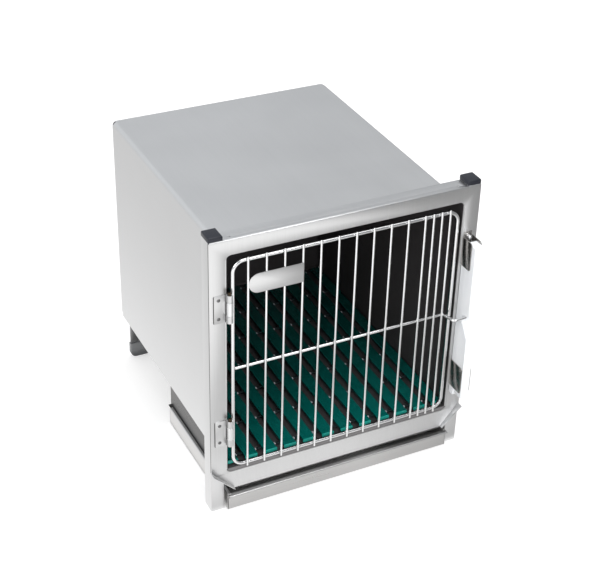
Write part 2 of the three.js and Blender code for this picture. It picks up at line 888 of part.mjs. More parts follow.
// A channel that opens to the front: a back against the plate and two cheeks.
function latchGuide(place) {
  const bottom = guideBottoms[place];
  const top = bottom + guideHeight;
  const backTop = place === 'upper' ? top + stopTabHeight : top;
  const backY = -plateSheet;
  const back = block(guideOuterX, guideRightX, backY - guideSheet, backY, bottom, backTop);
  const cheekOutline = rounded(
    rectangle(guideFrontYs[place], backY, bottom, top),
    guideCornerRadius,
    true,
  );
  const frontCorners = [
    ...cheekOutline.slice(0, bendSteps + 1),
    point(backY, bottom),
    point(backY, top),
    ...cheekOutline.slice(3 * (bendSteps + 1)),
  ];
  const cheek = prism('x', frontCorners, guideOuterX, guideOuterX + guideSheet);
  const otherCheek = cheek.translate([guideRightX - guideOuterX - guideSheet, 0, 0]);
  const guide = back.add(cheek).add(otherCheek);
  if (place === 'upper') {
    return guide;
  }
  const pinHole = circle(restPinY, restPinZ, restPinRadius + cutFit);
  return guide.subtract(prism('x', pinHole, guideOuterX - guideSheet, guideRightX + guideSheet));
}

// The white sliding plate. A notch at the back of its top makes room for the stop screw, its mouth
// is open to the front, with a slanted lower side, and the slot near its foot hangs on the pin.
function latchSlide() {
  const rearTabBottom = guideBottoms.lower - rearTabDrop;
  const frontTabBottom = guideBottoms.lower - frontTabDrop;
  const tabSlitTop = guideBottoms.lower + tabSlitRise;
  const notchFrontY = slideBackY - slideNotchDepth;
  const top = rounded([
    point(notchFrontY, slideTop - slideNotchDrop),
    point(notchFrontY, slideTop),
    point(slideFrontY, slideTop),
    point(slideFrontY, mouthTopFront),
  ], slideCornerRadius);
  const outline = [
    point(slideBackY, rearTabBottom),
    point(slideBackY, slideTop - slideNotchDrop),
    ...top,
    point(mouthBackY, mouthTopBack),
    point(mouthBackY, fingerZ - mouthFloorDrop),
    point(mouthBackY - mouthThroatForward, fingerZ - mouthThroatDrop),
    point(slideFrontY, fingerZ - mouthRampDrop),
    point(slideFrontY, frontTabBottom),
    point(frontTabStartY, frontTabBottom),
    point(frontTabStartY, tabSlitTop),
    point(rearTabEndY, tabSlitTop),
    point(rearTabEndY, rearTabBottom),
  ];
  const halfSlot = restPinRadius + cutFit;
  const slotTop = restPinZ + restPinRadius + weldFit;
  const slotBottom = restPinZ - restPinRadius - latchLift - slideFit;
  const slot = rectangle(restPinY - halfSlot, restPinY + halfSlot, slotBottom, slotTop);
  return prism('x', outline, slideLeftX, slideRightX, [slot]);
}

function latchRestPin() {
  const left = guideOuterX - weldFit;
  const right = guideRightX + weldFit;
  const shank = prism('x', circle(restPinY, restPinZ, restPinRadius), left, right);
  const head = circle(restPinY, restPinZ, restPinHeadRadius);
  return shank.add(prism('x', head, left - restPinHeadHeight, left))
    .add(prism('x', head, right, right + restPinHeadHeight));
}

function latchStopScrew() {
  const seat = -plateSheet - guideSheet;
  const head = circle(slideMiddleX, stopScrewZ, stopHeadRadius);
  return prism('y', head, seat - stopHeadReach, seat);
}

addPiece('front_plate', frontPlate(), brushedSteel);
addPiece('post_left', post().subtract(screwHoles()), brushedSteel);
addPiece('post_right', post().mirror([1, 0, 0]), brushedSteel);
addPair('post_cap', postCap(), blackPlastic);
addPiece('cabinet_wrapper', cabinetWrapper(), brushedSteel);
addPiece('cabinet_floor', cabinetFloor(), brushedSteel);
addPiece('cabinet_back', cabinetBack(), brushedSteel);
addPair('rear_leg', rearLeg(), brushedSteel);
addPair('rear_shoe', rearShoe(), greyPlastic);
addPair('tray_runner', trayRunner(), polishedSteel);
addPiece('tray_pan', trayPan(), brushedSteel);
addPiece('duckboard', slattedFloor(), greenPlastic);
addPiece('door_frame', doorFrame(), wireSteel);
barPlaces().forEach((x, index) => {
  const name = `door_bar_${String(index + 1).padStart(2, '0')}`;
  addPiece(name, prism('z', circle(x, barY, barRadius, thinSides), barBottomZ, barTopZ), wireSteel);
});
addPiece('door_crossbar', crossbar(), wireSteel);
addPiece('door_card', card(), brushedSteel);
Object.entries(hingeCentres).forEach(([place, centre]) => {
  addPiece(`hinge_leaf_${place}`, hingeLeaf(centre), brushedSteel);
  addPiece(`hinge_barrel_${place}`, hingeBarrel(centre), brushedSteel);
  addPiece(`hinge_pin_${place}`, hingePin(centre), polishedSteel);
});
screwHeights().forEach(([place, height]) => {
  addPiece(`hinge_screw_${place}`, hingeScrew(height), polishedSteel);
});
addPiece('latch_guide_upper', latchGuide('upper'), polishedSteel);
addPiece('latch_guide_lower', latchGuide('lower'), polishedSteel);
addPiece('latch_slide', latchSlide(), whitePlastic);
addPiece('latch_rest_pin', latchRestPin(), polishedSteel);
addPiece('latch_stop_screw', latchStopScrew(), polishedSteel);

export default cage;
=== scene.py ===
# %% [markdown]
# # A kennel cage in brushed steel
# The real cage is folded from thin stainless sheet: a cabinet with a dished back, a front plate
# carried by two box-section posts, a wire door, a slatted plastic floor and a tray below.
# The imported model gives every piece its size and its place. This file makes the pieces again
# with the softer folds, round wires and finishes that the real ones have, and paints some light
# and shade into the finishes.

# %% Load the frame
import math

import bmesh
import bpy
from mathutils import Matrix, Vector


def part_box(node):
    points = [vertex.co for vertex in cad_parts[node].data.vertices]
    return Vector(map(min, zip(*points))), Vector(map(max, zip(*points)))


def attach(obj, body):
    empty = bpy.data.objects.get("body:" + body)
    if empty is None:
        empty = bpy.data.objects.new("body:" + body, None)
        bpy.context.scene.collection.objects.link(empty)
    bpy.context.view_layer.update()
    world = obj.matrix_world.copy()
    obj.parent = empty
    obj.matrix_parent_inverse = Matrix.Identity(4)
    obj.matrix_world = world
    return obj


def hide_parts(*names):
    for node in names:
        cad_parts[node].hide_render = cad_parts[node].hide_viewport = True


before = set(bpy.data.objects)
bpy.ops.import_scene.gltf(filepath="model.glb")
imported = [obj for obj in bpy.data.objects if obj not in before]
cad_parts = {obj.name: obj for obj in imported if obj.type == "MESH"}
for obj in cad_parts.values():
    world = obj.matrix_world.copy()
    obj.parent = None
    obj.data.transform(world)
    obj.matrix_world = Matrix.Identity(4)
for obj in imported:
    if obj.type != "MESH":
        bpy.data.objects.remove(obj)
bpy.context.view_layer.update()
print("pieces in the frame:", len(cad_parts))

# %% [markdown]
# ## Measuring from the plate
# All sizes below are millimetres, read as on a drawing: x from the middle of the front, y from
# the plane behind the front plate, going back, and z from the ground. Blender wants metres from
# the middle of the footprint, so one small helper turns one into the other.

# %% From drawing sizes to Blender's metres
MIDDLE_DEPTH = 292.5
PLATE_HALF, PLATE_TOP, PLATE_SHEET = 300, 657, 1.5
CABIN_HALF, CABIN_TOP, CABIN_BACK, CABIN_SHEET = 264, 623, 623, 1.2
FLOOR_FRONT, FLOOR_SLOPE = 102.8, 0.0125


def spot(x, y, z):
    """A point on the drawing, in metres."""
    return Vector((x, y - MIDDLE_DEPTH, z)) / 1000


def on_drawing(point):
    """The drawing's x, y and z of a point in metres."""
    return point.x * 1000, point.y * 1000 + MIDDLE_DEPTH, point.z * 1000


low, high = ([round(v, 1) for v in on_drawing(corner)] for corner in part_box("front_plate"))
print("front plate from", low, "to", high)

# %% [markdown]
# ## The camera
# The picture was taken from the left, above and about three metres away. The camera stands where
# the straight edges of the cage run as they do in the picture, and a small shift gives the same
# framing.

# %% Place the camera
azimuth, elevation, roll = (math.radians(v) for v in (27.98, 32.89, 2.176))
ahead = Vector((math.sin(azimuth) * math.cos(elevation), math.cos(azimuth) * math.cos(elevation),
                -math.sin(elevation)))
level = ahead.cross(Vector((0, 0, 1))).normalized()
rightwards = math.cos(roll) * level + math.sin(roll) * level.cross(ahead)
upwards = rightwards.cross(ahead)
camera_data = bpy.data.cameras.new("picture_camera")
camera_data.lens = 85.53
camera_data.sensor_width = 36
camera_data.shift_x = -0.0367
camera_data.shift_y = 0.0295
camera_data.clip_end = 50
camera = bpy.data.objects.new("picture_camera", camera_data)
bpy.context.scene.collection.objects.link(camera)
turn = Matrix((rightwards, upwards, -ahead)).transposed().to_4x4()
camera.matrix_world = Matrix.Translation(spot(-1180.6, -2119, 2015)) @ turn
bpy.context.scene.camera = camera
print("camera at", [round(v, 3) for v in camera.location])

# %% [markdown]
# ## A bench for shader trees
# The room, the finishes and the floor are all made of nodes. A bench holds one tree and has a
# short word for each step: put a node down, feed a socket, multiply, compare, blend.

# %% The bench


class Bench:
    """One shader tree, with short ways to add nodes to it and link them."""

    def __init__(self, tree):
        self.tree = tree

    def put(self, kind, **settings):
        """Adds a node and sets its options."""
        node = self.tree.nodes.new(kind)
        for key, value in settings.items():
            setattr(node, key, value)
        return node

    def feed(self, source, target):
        """Sets a socket to a number or colour, or links another node's output to it."""
        if isinstance(source, bpy.types.NodeSocket):
            self.tree.links.new(source, target)
        else:
            target.default_value = source

    def fill(self, node, values):
        """Feeds a node's inputs, which are named or numbered, and gives back its first output."""
        for key, value in values.items():
            self.feed(value, node.inputs[key])
        return node.outputs[0]

    def calculate(self, operation, *values):
        """One sum on values or outputs."""
        return self.fill(self.put("ShaderNodeMath", operation=operation), dict(enumerate(values)))

    def times(self, first, *others):
        """The product of its values."""
        for other in others:
            first = self.calculate("MULTIPLY", first, other)
        return first

    def plus(self, first, second):
        return self.calculate("ADD", first, second)

    def most(self, first, second):
        return self.calculate("MAXIMUM", first, second)

    def size_of(self, value):
        """A value without its sign."""
        return self.calculate("ABSOLUTE", value)

    def over(self, value, limit):
        """1 where a value is above a limit, else 0."""
        return self.calculate("GREATER_THAN", value, limit)

    def under(self, value, limit):
        """1 where a value is below a limit, else 0."""
        return self.calculate("LESS_THAN", value, limit)

    def spread(self, value, low, high, to_low=0.0, to_high=1.0):
        """Stretches a range of values over another and stops at its ends."""
        node = self.put("ShaderNodeMapRange", clamp=True)
        return self.fill(node, dict(enumerate((value, low, high, to_low, to_high))))

    def blend(self, share, first, second):
        """A colour between two colours."""
        node = self.put("ShaderNodeMix", data_type="RGBA")
        self.fill(node, {"Factor": share, 6: first, 7: second})
        return node.outputs[2]

    def either(self, share, first, second):
        """One shader where the share is 0 and another where it is 1."""
        return self.fill(self.put("ShaderNodeMixShader"), {0: share, 1: first, 2: second})

    def noise(self, vector, scale, detail, **others):
        """A noise texture, which has a fourth dimension where W is given."""
        node = self.put("ShaderNodeTexNoise", noise_dimensions="4D" if "W" in others else "3D")
        self.fill(node, {"Vector": vector, "Scale": scale, "Detail": detail, **others})
        return node.outputs["Fac"]

    def effect(self, group, **values):
        """The outputs of a node group placed with its own values."""
        node = self.put("ShaderNodeGroup", node_tree=group.tree)
        self.fill(node, values)
        return node.outputs

    def place(self, kind="Object"):
        """The x, y and z of each point, in the object's own metres."""
        split = self.put("ShaderNodeSeparateXYZ")
        self.feed(self.put("ShaderNodeTexCoord").outputs[kind], split.inputs[0])
        return split.outputs


print("the bench is ready")

# %% [markdown]
# ## Light
# A white room lights the cage from all around, as a photographer's tent does. Bright sheet steel
# shows its surroundings, so the room is a little darker towards the right and behind the camera,
# which gives the top and the walls their slow change of tone. Three soft lamps add form.

# %% The room
bpy.context.scene.view_settings.view_transform = "Standard"
world = bpy.data.worlds.new("white_room")
bpy.context.scene.world = world
world.use_nodes = True
world.node_tree.nodes.clear()
room = Bench(world.node_tree)
out = room.put("ShaderNodeOutputWorld")
way = room.put("ShaderNodeLightPath").outputs
x, y, z = room.place("Generated")
tone = room.plus(room.plus(room.times(x, -0.30), room.times(y, 0.22)), room.plus(room.times(z, 0.10), 0.65))
tone = room.most(tone, 0.02)


def background(colour, strength):
    """A shade of the room."""
    return room.fill(room.put("ShaderNodeBackground"), {"Color": (*colour, 1), "Strength": strength})


seen = background((1, 1, 1), 1.0)
mirrored_room = background((0.785, 0.81, 0.84), tone)
soft_light = background((0.8, 0.8, 0.8), 1.25)
mirroring = room.most(way["Is Glossy Ray"], way["Is Transmission Ray"])
unseen = room.either(mirroring, soft_light, mirrored_room)
room.feed(room.either(way["Is Camera Ray"], unseen, seen), out.inputs["Surface"])
print("room shader nodes:", len(world.node_tree.nodes))

# %% The lamps


def soft_lamp(name, place, size, power):
    """A square soft lamp that faces the cage."""
    data = bpy.data.lights.new(name, "AREA")
    data.shape = "SQUARE"
    data.size = size
    data.energy = power
    lamp = bpy.data.objects.new(name, data)
    bpy.context.scene.collection.objects.link(lamp)
    lamp.location = place
    lamp.rotation_euler = (Vector((0, 0, 0.3)) - Vector(place)).to_track_quat("-Z", "Y").to_euler()


soft_lamp("lamp_left", (-2.6, -1.6, 2.2), 1.6, 26)
soft_lamp("lamp_above", (0.4, -0.6, 3.2), 2.2, 22)
soft_lamp("lamp_front", (0.3, -2.4, 2.2), 1.2, 16)

# %% [markdown]
# ## Helpers for working by hand
# Each piece is made as in Blender's own window: add a primitive, go into edit mode, select by
# place, then extrude, bevel, spin or cut. The helpers only save repeating the same few clicks.
# A new primitive comes with everything selected, so every start clears the old selection first.

# %% Starting a piece


def start(name):
    """Names the primitive just added and fixes its place in its mesh."""
    piece = bpy.context.object
    piece.name = piece.data.name = name
    bpy.ops.object.transform_apply(location=True, rotation=True, scale=True)
    return piece


def clear():
    """Leaves nothing selected, so that the next operator acts on its own piece alone."""
    if bpy.context.object and bpy.context.object.mode != "OBJECT":
        bpy.ops.object.mode_set(mode="OBJECT")
    bpy.ops.object.select_all(action="DESELECT")


def take(piece):
    """Selects one piece alone."""
    clear()
    piece.select_set(True)
    bpy.context.view_layer.objects.active = piece


def mark(everything=True):
    """Selects all of a mesh, or none of it."""
    bpy.ops.mesh.select_all(action="SELECT" if everything else "DESELECT")


def edit(piece):
    """Opens one piece for editing, with none of it selected."""
    take(piece)
    bpy.ops.object.mode_set(mode="EDIT")
    mark(False)


print("the first helpers are ready")

# %% Selecting by place, and moving


def middle_of(part):
    """The middle of a corner, an edge or a face."""
    if isinstance(part, bmesh.types.BMVert):
        return part.co
    if isinstance(part, bmesh.types.BMEdge):
        return (part.verts[0].co + part.verts[1].co) / 2
    return part.calc_center_median()


def pick(kind, test):
    """Selects the corners, edges or faces whose middle, in drawing sizes, passes the test."""
    bpy.ops.mesh.select_mode(type=kind)
    mark(False)
    shape = bmesh.from_edit_mesh(bpy.context.object.data)
    for part in {"VERT": shape.verts, "EDGE": shape.edges, "FACE": shape.faces}[kind]:
        if test(*on_drawing(middle_of(part))):
            part.select_set(True)
    shape.select_flush_mode()
    bmesh.update_edit_mesh(bpy.context.object.data)


def near(value, target, slack=0.05):
    return abs(value - target) < slack


def move(x=0, y=0, z=0):
    """Moves what is selected, in millimetres."""
    bpy.ops.transform.translate(value=(x / 1000, y / 1000, z / 1000))


def draw_out(step):
    """Extrudes what is selected, in metres."""
    bpy.ops.mesh.extrude_region_move(TRANSFORM_OT_translate={"value": step})


def pull(x=0, y=0, z=0):
    """Extrudes what is selected, in millimetres."""
    draw_out((x / 1000, y / 1000, z / 1000))


def bevel(width, segments):
    """Rounds the edges that are selected, by a width in millimetres."""
    bpy.ops.mesh.bevel(offset=width / 1000, segments=segments, affect="EDGES")


print("selecting and moving are ready")

# %% Blocks and cylinders


def block(name, x0, x1, y0, y1, z0, z1):
    """A cube added at its size and place."""
    clear()
    size = Vector((x1 - x0, y1 - y0, z1 - z0)) / 1000
    middle = spot((x0 + x1) / 2, (y0 + y1) / 2, (z0 + z1) / 2)
    bpy.ops.mesh.primitive_cube_add(size=1, location=middle, scale=size)
    return start(name)


def cylinder(name, middle, radius, height, sides):
    """An upright cylinder added at its size and place."""
    clear()
    bpy.ops.mesh.primitive_cylinder_add(vertices=sides, radius=radius / 1000, depth=height / 1000,
                                        location=spot(*middle))
    return start(name)


print("blocks and cylinders are ready")

# %% Modifiers, joining and tidying


def apply_modifier(piece, kind, **settings):
    """Adds one modifier and applies it at once."""
    take(piece)
    modifier = piece.modifiers.new(kind.title(), kind)
    for key, value in settings.items():
        setattr(modifier, key, value)
    bpy.ops.object.modifier_apply(modifier=modifier.name)


def soften(piece, width, segments=2, angle=50):
    """Rounds every edge sharper than the angle by a width in millimetres."""
    apply_modifier(piece, "BEVEL", width=width / 1000, segments=segments, limit_method="ANGLE",
                   angle_limit=math.radians(angle), use_clamp_overlap=True, harden_normals=False)


def cut(piece, cutter):
    """Takes the cutter's room out of the piece, and the cutter away."""
    apply_modifier(piece, "BOOLEAN", operation="DIFFERENCE", solver="EXACT", object=cutter)
    bpy.data.objects.remove(cutter)


def join(piece, *others):
    """Makes one piece of several."""
    take(piece)
    for other in others:
        other.select_set(True)
    bpy.ops.object.join()
    return piece


def tidy(piece):
    """Merges doubled corners and turns the faces outwards."""
    edit(piece)
    mark()
    bpy.ops.mesh.remove_doubles(threshold=0.000004)
    bpy.ops.mesh.normals_make_consistent(inside=False)
    clear()
    return piece


print("modifiers are ready")

# %% Copies, and the last steps of a piece


def copy_of(piece, name, x=0):
    """A copy with its own mesh, moved sideways in millimetres."""
    take(piece)
    bpy.ops.object.duplicate(linked=False)
    move(x)
    return start(name)


def mirrored(piece, name):
    """The same piece for the other side."""
    twin = copy_of(piece, name)
    twin.scale.x = -1
    bpy.ops.object.transform_apply(location=True, rotation=True, scale=True)
    return tidy(twin)


def settle(piece, body, node, finish, angle=35):
    """Gives a finished piece its finish, its shading and the body that carries it."""
    take(piece)
    bpy.ops.object.shade_smooth_by_angle(angle=math.radians(angle))
    piece.data.materials.clear()
    piece.data.materials.append(finish)
    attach(piece, body)
    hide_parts(node)
    clear()
    print(piece.name, "faces:", len(piece.data.polygons))


def settle_pair(left, stem, finish):
    """Settles a left piece of the cage and its mirror image."""
    right = mirrored(left, f"{stem}_right")
    settle(left, "cage", f"{stem}_left", finish)
    settle(right, "cage", f"{stem}_right", finish)


print("the last steps are ready")

# %% [markdown]
# ## Folding sheet
# Most of the cage is sheet with a few straight folds. By hand that is a plane whose edge is
# extruded once for each flat, whose fold lines are then bevelled into bends, and which at last
# gets its thickness from Solidify. A box would be quicker, but it has no bends and no edges of
# the right thinness.

# %% The sheet folder


def drawn(axis, u, v, w):
    """A drawing point from a section's two sizes and the place along the fold line."""
    return {"x": (w, u, v), "y": (u, w, v), "z": (u, v, w)}[axis]


def pick_line(axis, point, begin, end):
    """Selects the edge that runs along the axis through a point of the section."""
    here = Vector(drawn(axis, *point, (begin + end) / 2))
    pick("EDGE", lambda x, y, z: (Vector((x, y, z)) - here).length < 0.02)


def thicken(piece, thickness, flip=False):
    """Gives a sheet its thickness, away from its outer side."""
    apply_modifier(piece, "SOLIDIFY", thickness=thickness / 1000, offset=1.0 if flip else -1.0,
                   use_even_offset=True, use_quality_normals=True)
    tidy(piece)


def folded_sheet(name, axis, section, begin, end, thickness, bend=0.0, segments=5, flip=False, bends=None):
    """A sheet that follows a section and runs along an axis.
    bend is the outer radius of its folds, and bends gives other radii by the fold's number."""
    clear()
    first, second = (spot(*drawn(axis, *point, begin)) for point in section[:2])
    along = spot(*drawn(axis, 0, 0, end)) - spot(*drawn(axis, 0, 0, begin))
    across = second - first
    normal = across.cross(along).normalized()
    basis = Matrix((across.normalized(), along.normalized(), normal)).transposed()
    bpy.ops.mesh.primitive_plane_add(size=1, location=(first + second) / 2 + along / 2,
                                     rotation=basis.to_euler(), scale=(1, 1, 1))
    bpy.context.object.scale = (across.length, along.length, 1)
    piece = start(name)
    edit(piece)
    pick_line(axis, section[1], begin, end)
    for one, other in zip(section[1:], section[2:]):
        pull(*(Vector(drawn(axis, *other, 0)) - Vector(drawn(axis, *one, 0))))
    for number, fold in enumerate(section[1:-1]):
        radius = (bends or {}).get(number, bend)
        if radius <= 0:
            continue
        before = (Vector(section[number]) - Vector(fold)).normalized()
        after = (Vector(section[number + 2]) - Vector(fold)).normalized()
        reach = radius / math.tan(before.angle(after) / 2)
        pick_line(axis, fold, begin, end)
        bpy.ops.mesh.bevel(offset=reach / 1000, offset_type="OFFSET", segments=segments, profile=0.5,
                           affect="EDGES", clamp_overlap=True)
    thicken(piece, thickness, flip)
    return piece


print("the sheet folder is ready")

# %% [markdown]
# ## Bending wire
# A wire is a round face swept along its line: extruded along each straight and spun round each
# bend. Spin turns the other way from what its sign says here, so the angle is given as negative.

# %% The wire bender


def bent_wire(name, corners, radius, bend, sides=20, steps=8, closed=False):
    """A round wire through the corners, with a bend of the same radius at each of them."""
    clear()
    line = [spot(*corner) for corner in corners]
    heading = (line[1] - line[0]).normalized()
    bpy.ops.mesh.primitive_circle_add(vertices=sides, radius=radius / 1000, fill_type="NGON",
                                      location=line[0],
                                      rotation=heading.to_track_quat("Z", "Y").to_euler())
    piece = start(name)
    edit(piece)
    bpy.ops.mesh.select_mode(type="FACE")
    mark()
    tip = line[0]
    for previous, corner, following in zip(line, line[1:], line[2:]):
        before = (previous - corner).normalized()
        after = (following - corner).normalized()
        opening = before.angle(after)
        reach = bend / 1000 / math.tan(opening / 2)
        centre = corner + (before + after).normalized() * (bend / 1000 / math.sin(opening / 2))
        draw_out(corner + before * reach - tip)
        bpy.ops.mesh.spin(steps=steps, angle=-(math.pi - opening), center=centre,
                          axis=(-before).cross(after).normalized())
        tip = corner + after * reach
    draw_out(line[-1] - tip)
    if closed:
        edit(piece)
        bpy.ops.mesh.select_mode(type="FACE")
        for face in bmesh.from_edit_mesh(piece.data).faces:
            if len(face.verts) == sides:
                face.select_set(True)
        bmesh.update_edit_mesh(piece.data)
        bpy.ops.mesh.delete(type="FACE")
    return tidy(piece)


print("the wire bender is ready")

# %% [markdown]
# ## Turning on a lathe
# Knuckles, pins and screw heads are turned. Their half section is drawn as a line of points and
# spun a full turn about its axis.

# %% The lathe


def turned(name, axis, centre, section, sides=32):
    """A turned piece: section holds (place along the axis, radius) pairs, from end to end."""
    clear()
    along = Vector(drawn(axis, 0, 0, 1))
    outwards = Vector({"x": (0, 1, 0), "y": (0, 0, 1), "z": (1, 0, 0)}[axis])
    base = spot(*centre)
    bpy.ops.mesh.primitive_plane_add(size=0.001, location=base)
    piece = start(name)
    edit(piece)
    bpy.ops.mesh.select_mode(type="VERT")
    mark()
    bpy.ops.mesh.merge(type="CENTER")
    reached = Vector((0, 0, 0))
    for number, (place, radius) in enumerate(section):
        target = (along * place + outwards * radius) / 1000
        if number == 0:
            bpy.ops.transform.translate(value=target)
        else:
            bpy.ops.mesh.extrude_vertices_move(TRANSFORM_OT_translate={"value": target - reached})
        reached = target
    mark()
    bpy.ops.mesh.spin(steps=sides, angle=2 * math.pi, center=base, axis=along)
    return tidy(piece)


def cut_cross(screw, x, z, half_width, half_length, front, floor):
    """Cuts a cross into a screw's head."""
    for wide, tall in ((half_width, half_length), (half_length, half_width)):
        cut(screw, block("cross", x - wide, x + wide, front, floor, z - tall, z + tall))


print("the lathe is ready")

# %% [markdown]
# ## Plates with an outline
# Some pieces are flat with an odd outline, such as the latch plate. By hand that is a flat face
# with as many corners as the outline, each corner moved to its place, and the whole extruded.

# %% The plate cutter


def plate(name, axis, outline, begin, end):
    """A flat piece with the given outline, from one place on the axis to another."""
    clear()
    bpy.ops.mesh.primitive_circle_add(vertices=len(outline), radius=0.05, fill_type="NGON",
                                      location=(0, 0, 0))
    piece = start(name)
    edit(piece)
    bpy.ops.mesh.select_mode(type="VERT")
    for number, point in enumerate(outline):
        mark(False)
        shape = bmesh.from_edit_mesh(piece.data)
        shape.verts.ensure_lookup_table()
        corner = shape.verts[number]
        corner.select_set(True)
        bmesh.update_edit_mesh(piece.data)
        bpy.ops.transform.translate(value=spot(*drawn(axis, *point, begin)) - corner.co)
    bpy.ops.mesh.select_mode(type="FACE")
    mark()
    pull(*(Vector(drawn(axis, 0, 0, end)) - Vector(drawn(axis, 0, 0, begin))))
    return tidy(piece)


print("the plate cutter is ready")

# %% [markdown]
# ## Finishes: effects that several materials share
# The real sheet has a satin grain of very fine parallel scratches, hands and cloths leave faint
# cloudy patches, and edges are a little brighter, partly worn where they rub and partly a painted
# highlight. Each effect is a node group with its own inputs, so that every finish can use it at its
# own strength and direction.

# %% A bench for a group


class Effect(Bench):
    """A node group with named inputs, each with its start value, and named value outputs."""

    def __init__(self, name, inputs, outputs):
        super().__init__(bpy.data.node_groups.new(name, "ShaderNodeTree"))
        for label, value in inputs.items():
            kind = "NodeSocketVector" if isinstance(value, tuple) else "NodeSocketFloat"
            socket = self.tree.interface.new_socket(name=label, in_out="INPUT", socket_type=kind)
            socket.default_value = value
        for label in outputs:
            self.tree.interface.new_socket(name=label, in_out="OUTPUT", socket_type="NodeSocketFloat")
        self.given = self.put("NodeGroupInput").outputs
        self.made = self.put("NodeGroupOutput").inputs

    def give(self, label, value):
        """Feeds one of the group's outputs."""
        self.feed(value, self.made[label])


print("the group bench is ready")

# %% The grain of brushed sheet
grain = Effect("brushed_grain", {"Stretch": (1.0, 1.0, 1.0), "Size": 900.0, "Seed": 0.0}, ["Line", "Height"])
mapping = grain.put("ShaderNodeMapping")
stretched = grain.fill(mapping, {"Vector": grain.put("ShaderNodeTexCoord").outputs["Object"],
                                 "Scale": grain.given["Stretch"]})
fine = grain.noise(stretched, grain.given["Size"], 5.0, W=grain.given["Seed"], Roughness=0.6)
coarse = grain.noise(stretched, grain.times(grain.given["Size"], 0.16), 3.0, W=grain.given["Seed"])
both = grain.calculate("MULTIPLY_ADD", fine, 0.62, grain.times(coarse, 0.38))
grain.give("Line", grain.spread(both, 0.3, 0.7))
grain.give("Height", fine)
print("grain group nodes:", len(grain.tree.nodes))

# %% Clouds left by cloths and hands
clouds = Effect("handling_clouds", {"Size": 6.0, "Sharpness": 0.5, "Seed": 0.0}, ["Cloud", "Speck"])
point = clouds.put("ShaderNodeTexCoord").outputs["Object"]
wide = clouds.noise(point, clouds.given["Size"], 3.0, W=clouds.given["Seed"], Distortion=0.4)
half_width = clouds.calculate("MULTIPLY_ADD", clouds.given["Sharpness"], -0.2, 0.25)
clouds.give("Cloud", clouds.spread(wide, clouds.calculate("SUBTRACT", 0.5, half_width),
                                   clouds.plus(0.5, half_width)))
clouds.give("Speck", clouds.spread(clouds.noise(point, 700.0, 2.0), 0.35, 0.65))
print("cloud group nodes:", len(clouds.tree.nodes))

# %% [markdown]
# ## Painted shade by place
# The inside of the cabin and of the tray is painted nearly black as shade, and the face of the floor's
# front lip a little less. A painted dark line stands for the shadow where two sheets meet. Both are
# masks, worked out from where a point lies, in metres.

# %% Painted shade inside the cabin and the tray
INNER_SIDE, INNER_FRONT, INNER_BACK, INNER_TOP = 0.2632, -0.2924, 0.3418, 0.6222
BEND_SIDE, BEND_TOP, BEND_RADIUS = 0.254, 0.613, 0.0093
SHEET_TOP = 0.10705
cabin = Effect("painted_inside_shade", {"Depth": 1.0}, ["Cabin", "Tray"])
x, y, z = cabin.place()
across = cabin.size_of(x)
in_width = cabin.under(across, INNER_SIDE)
past_side = cabin.most(cabin.calculate("SUBTRACT", across, BEND_SIDE), 0.0)
past_top = cabin.most(cabin.calculate("SUBTRACT", z, BEND_TOP), 0.0)
from_bend = cabin.calculate("MULTIPLY_ADD", past_side, past_side, cabin.times(past_top, past_top))
sheet = cabin.calculate("MULTIPLY_ADD", y, FLOOR_SLOPE, SHEET_TOP)
inside = cabin.times(in_width, cabin.over(y, INNER_FRONT), cabin.under(y, INNER_BACK),
                     cabin.under(z, INNER_TOP), cabin.under(from_bend, BEND_RADIUS ** 2),
                     cabin.over(z, sheet))
# The face of the floor's front lip gets a little less painted shade.
lip = cabin.times(cabin.over(z, 0.090), cabin.under(z, 0.1045), in_width, cabin.under(y, -0.2905), 0.8)
cabin.give("Cabin", cabin.times(cabin.most(inside, lip), cabin.given["Depth"]))
# The inside of the tray gets the same painted shade.
in_pan = cabin.times(cabin.over(y, -0.3014), cabin.under(y, 0.0264), cabin.under(across, 0.26495),
                     cabin.over(z, 0.0031), cabin.under(z, 0.0425))
cabin.give("Tray", cabin.times(in_pan, cabin.given["Depth"]))
print("cabin group nodes:", len(cabin.tree.nodes))

# %% Painted shadow lines where the plate lies on a post, beside a hinge leaf and where its roll begins
PLATE_MIDDLE = 0.0006 - MIDDLE_DEPTH / 1000
LEAF_EDGE, ROLL_EDGE = 0.2917, 0.2665
seam_shadow = Effect("painted_seam_shadows", {"Depth": 1.0}, ["Post", "Leaf"])
x, y, z = seam_shadow.place()
outside = seam_shadow.spread(seam_shadow.size_of(x), 0.2975, 0.2985)
from_plate = seam_shadow.size_of(seam_shadow.calculate("SUBTRACT", y, PLATE_MIDDLE))
line = seam_shadow.times(outside, seam_shadow.spread(from_plate, 0.0011, 0.0018, 1.0, 0.0), seam_shadow.over(z, 0.1045))
seam_shadow.give("Post", seam_shadow.times(line, seam_shadow.given["Depth"]))
beside_leaf = seam_shadow.spread(seam_shadow.size_of(seam_shadow.plus(x, LEAF_EDGE)), 0.0009, 0.0013, 1.0, 0.0)
beside_roll = seam_shadow.spread(seam_shadow.size_of(seam_shadow.plus(x, ROLL_EDGE)), 0.0007, 0.0010, 1.0, 0.0)
seam_shadow.give("Leaf", seam_shadow.times(seam_shadow.most(beside_leaf, beside_roll), seam_shadow.given["Depth"]))
print("seam group nodes:", len(seam_shadow.tree.nodes))

# %% Rubbed edges with a painted highlight
edge_wear_and_highlight = Effect("edge_wear_and_painted_highlight", {"Amount": 1.0}, ["Edge"])
sharp = edge_wear_and_highlight.spread(edge_wear_and_highlight.put("ShaderNodeNewGeometry").outputs["Pointiness"], 0.52, 0.62)
edge_wear_and_highlight.give("Edge", edge_wear_and_highlight.times(sharp, edge_wear_and_highlight.given["Amount"]))
print("edge group nodes:", len(edge_wear_and_highlight.tree.nodes))

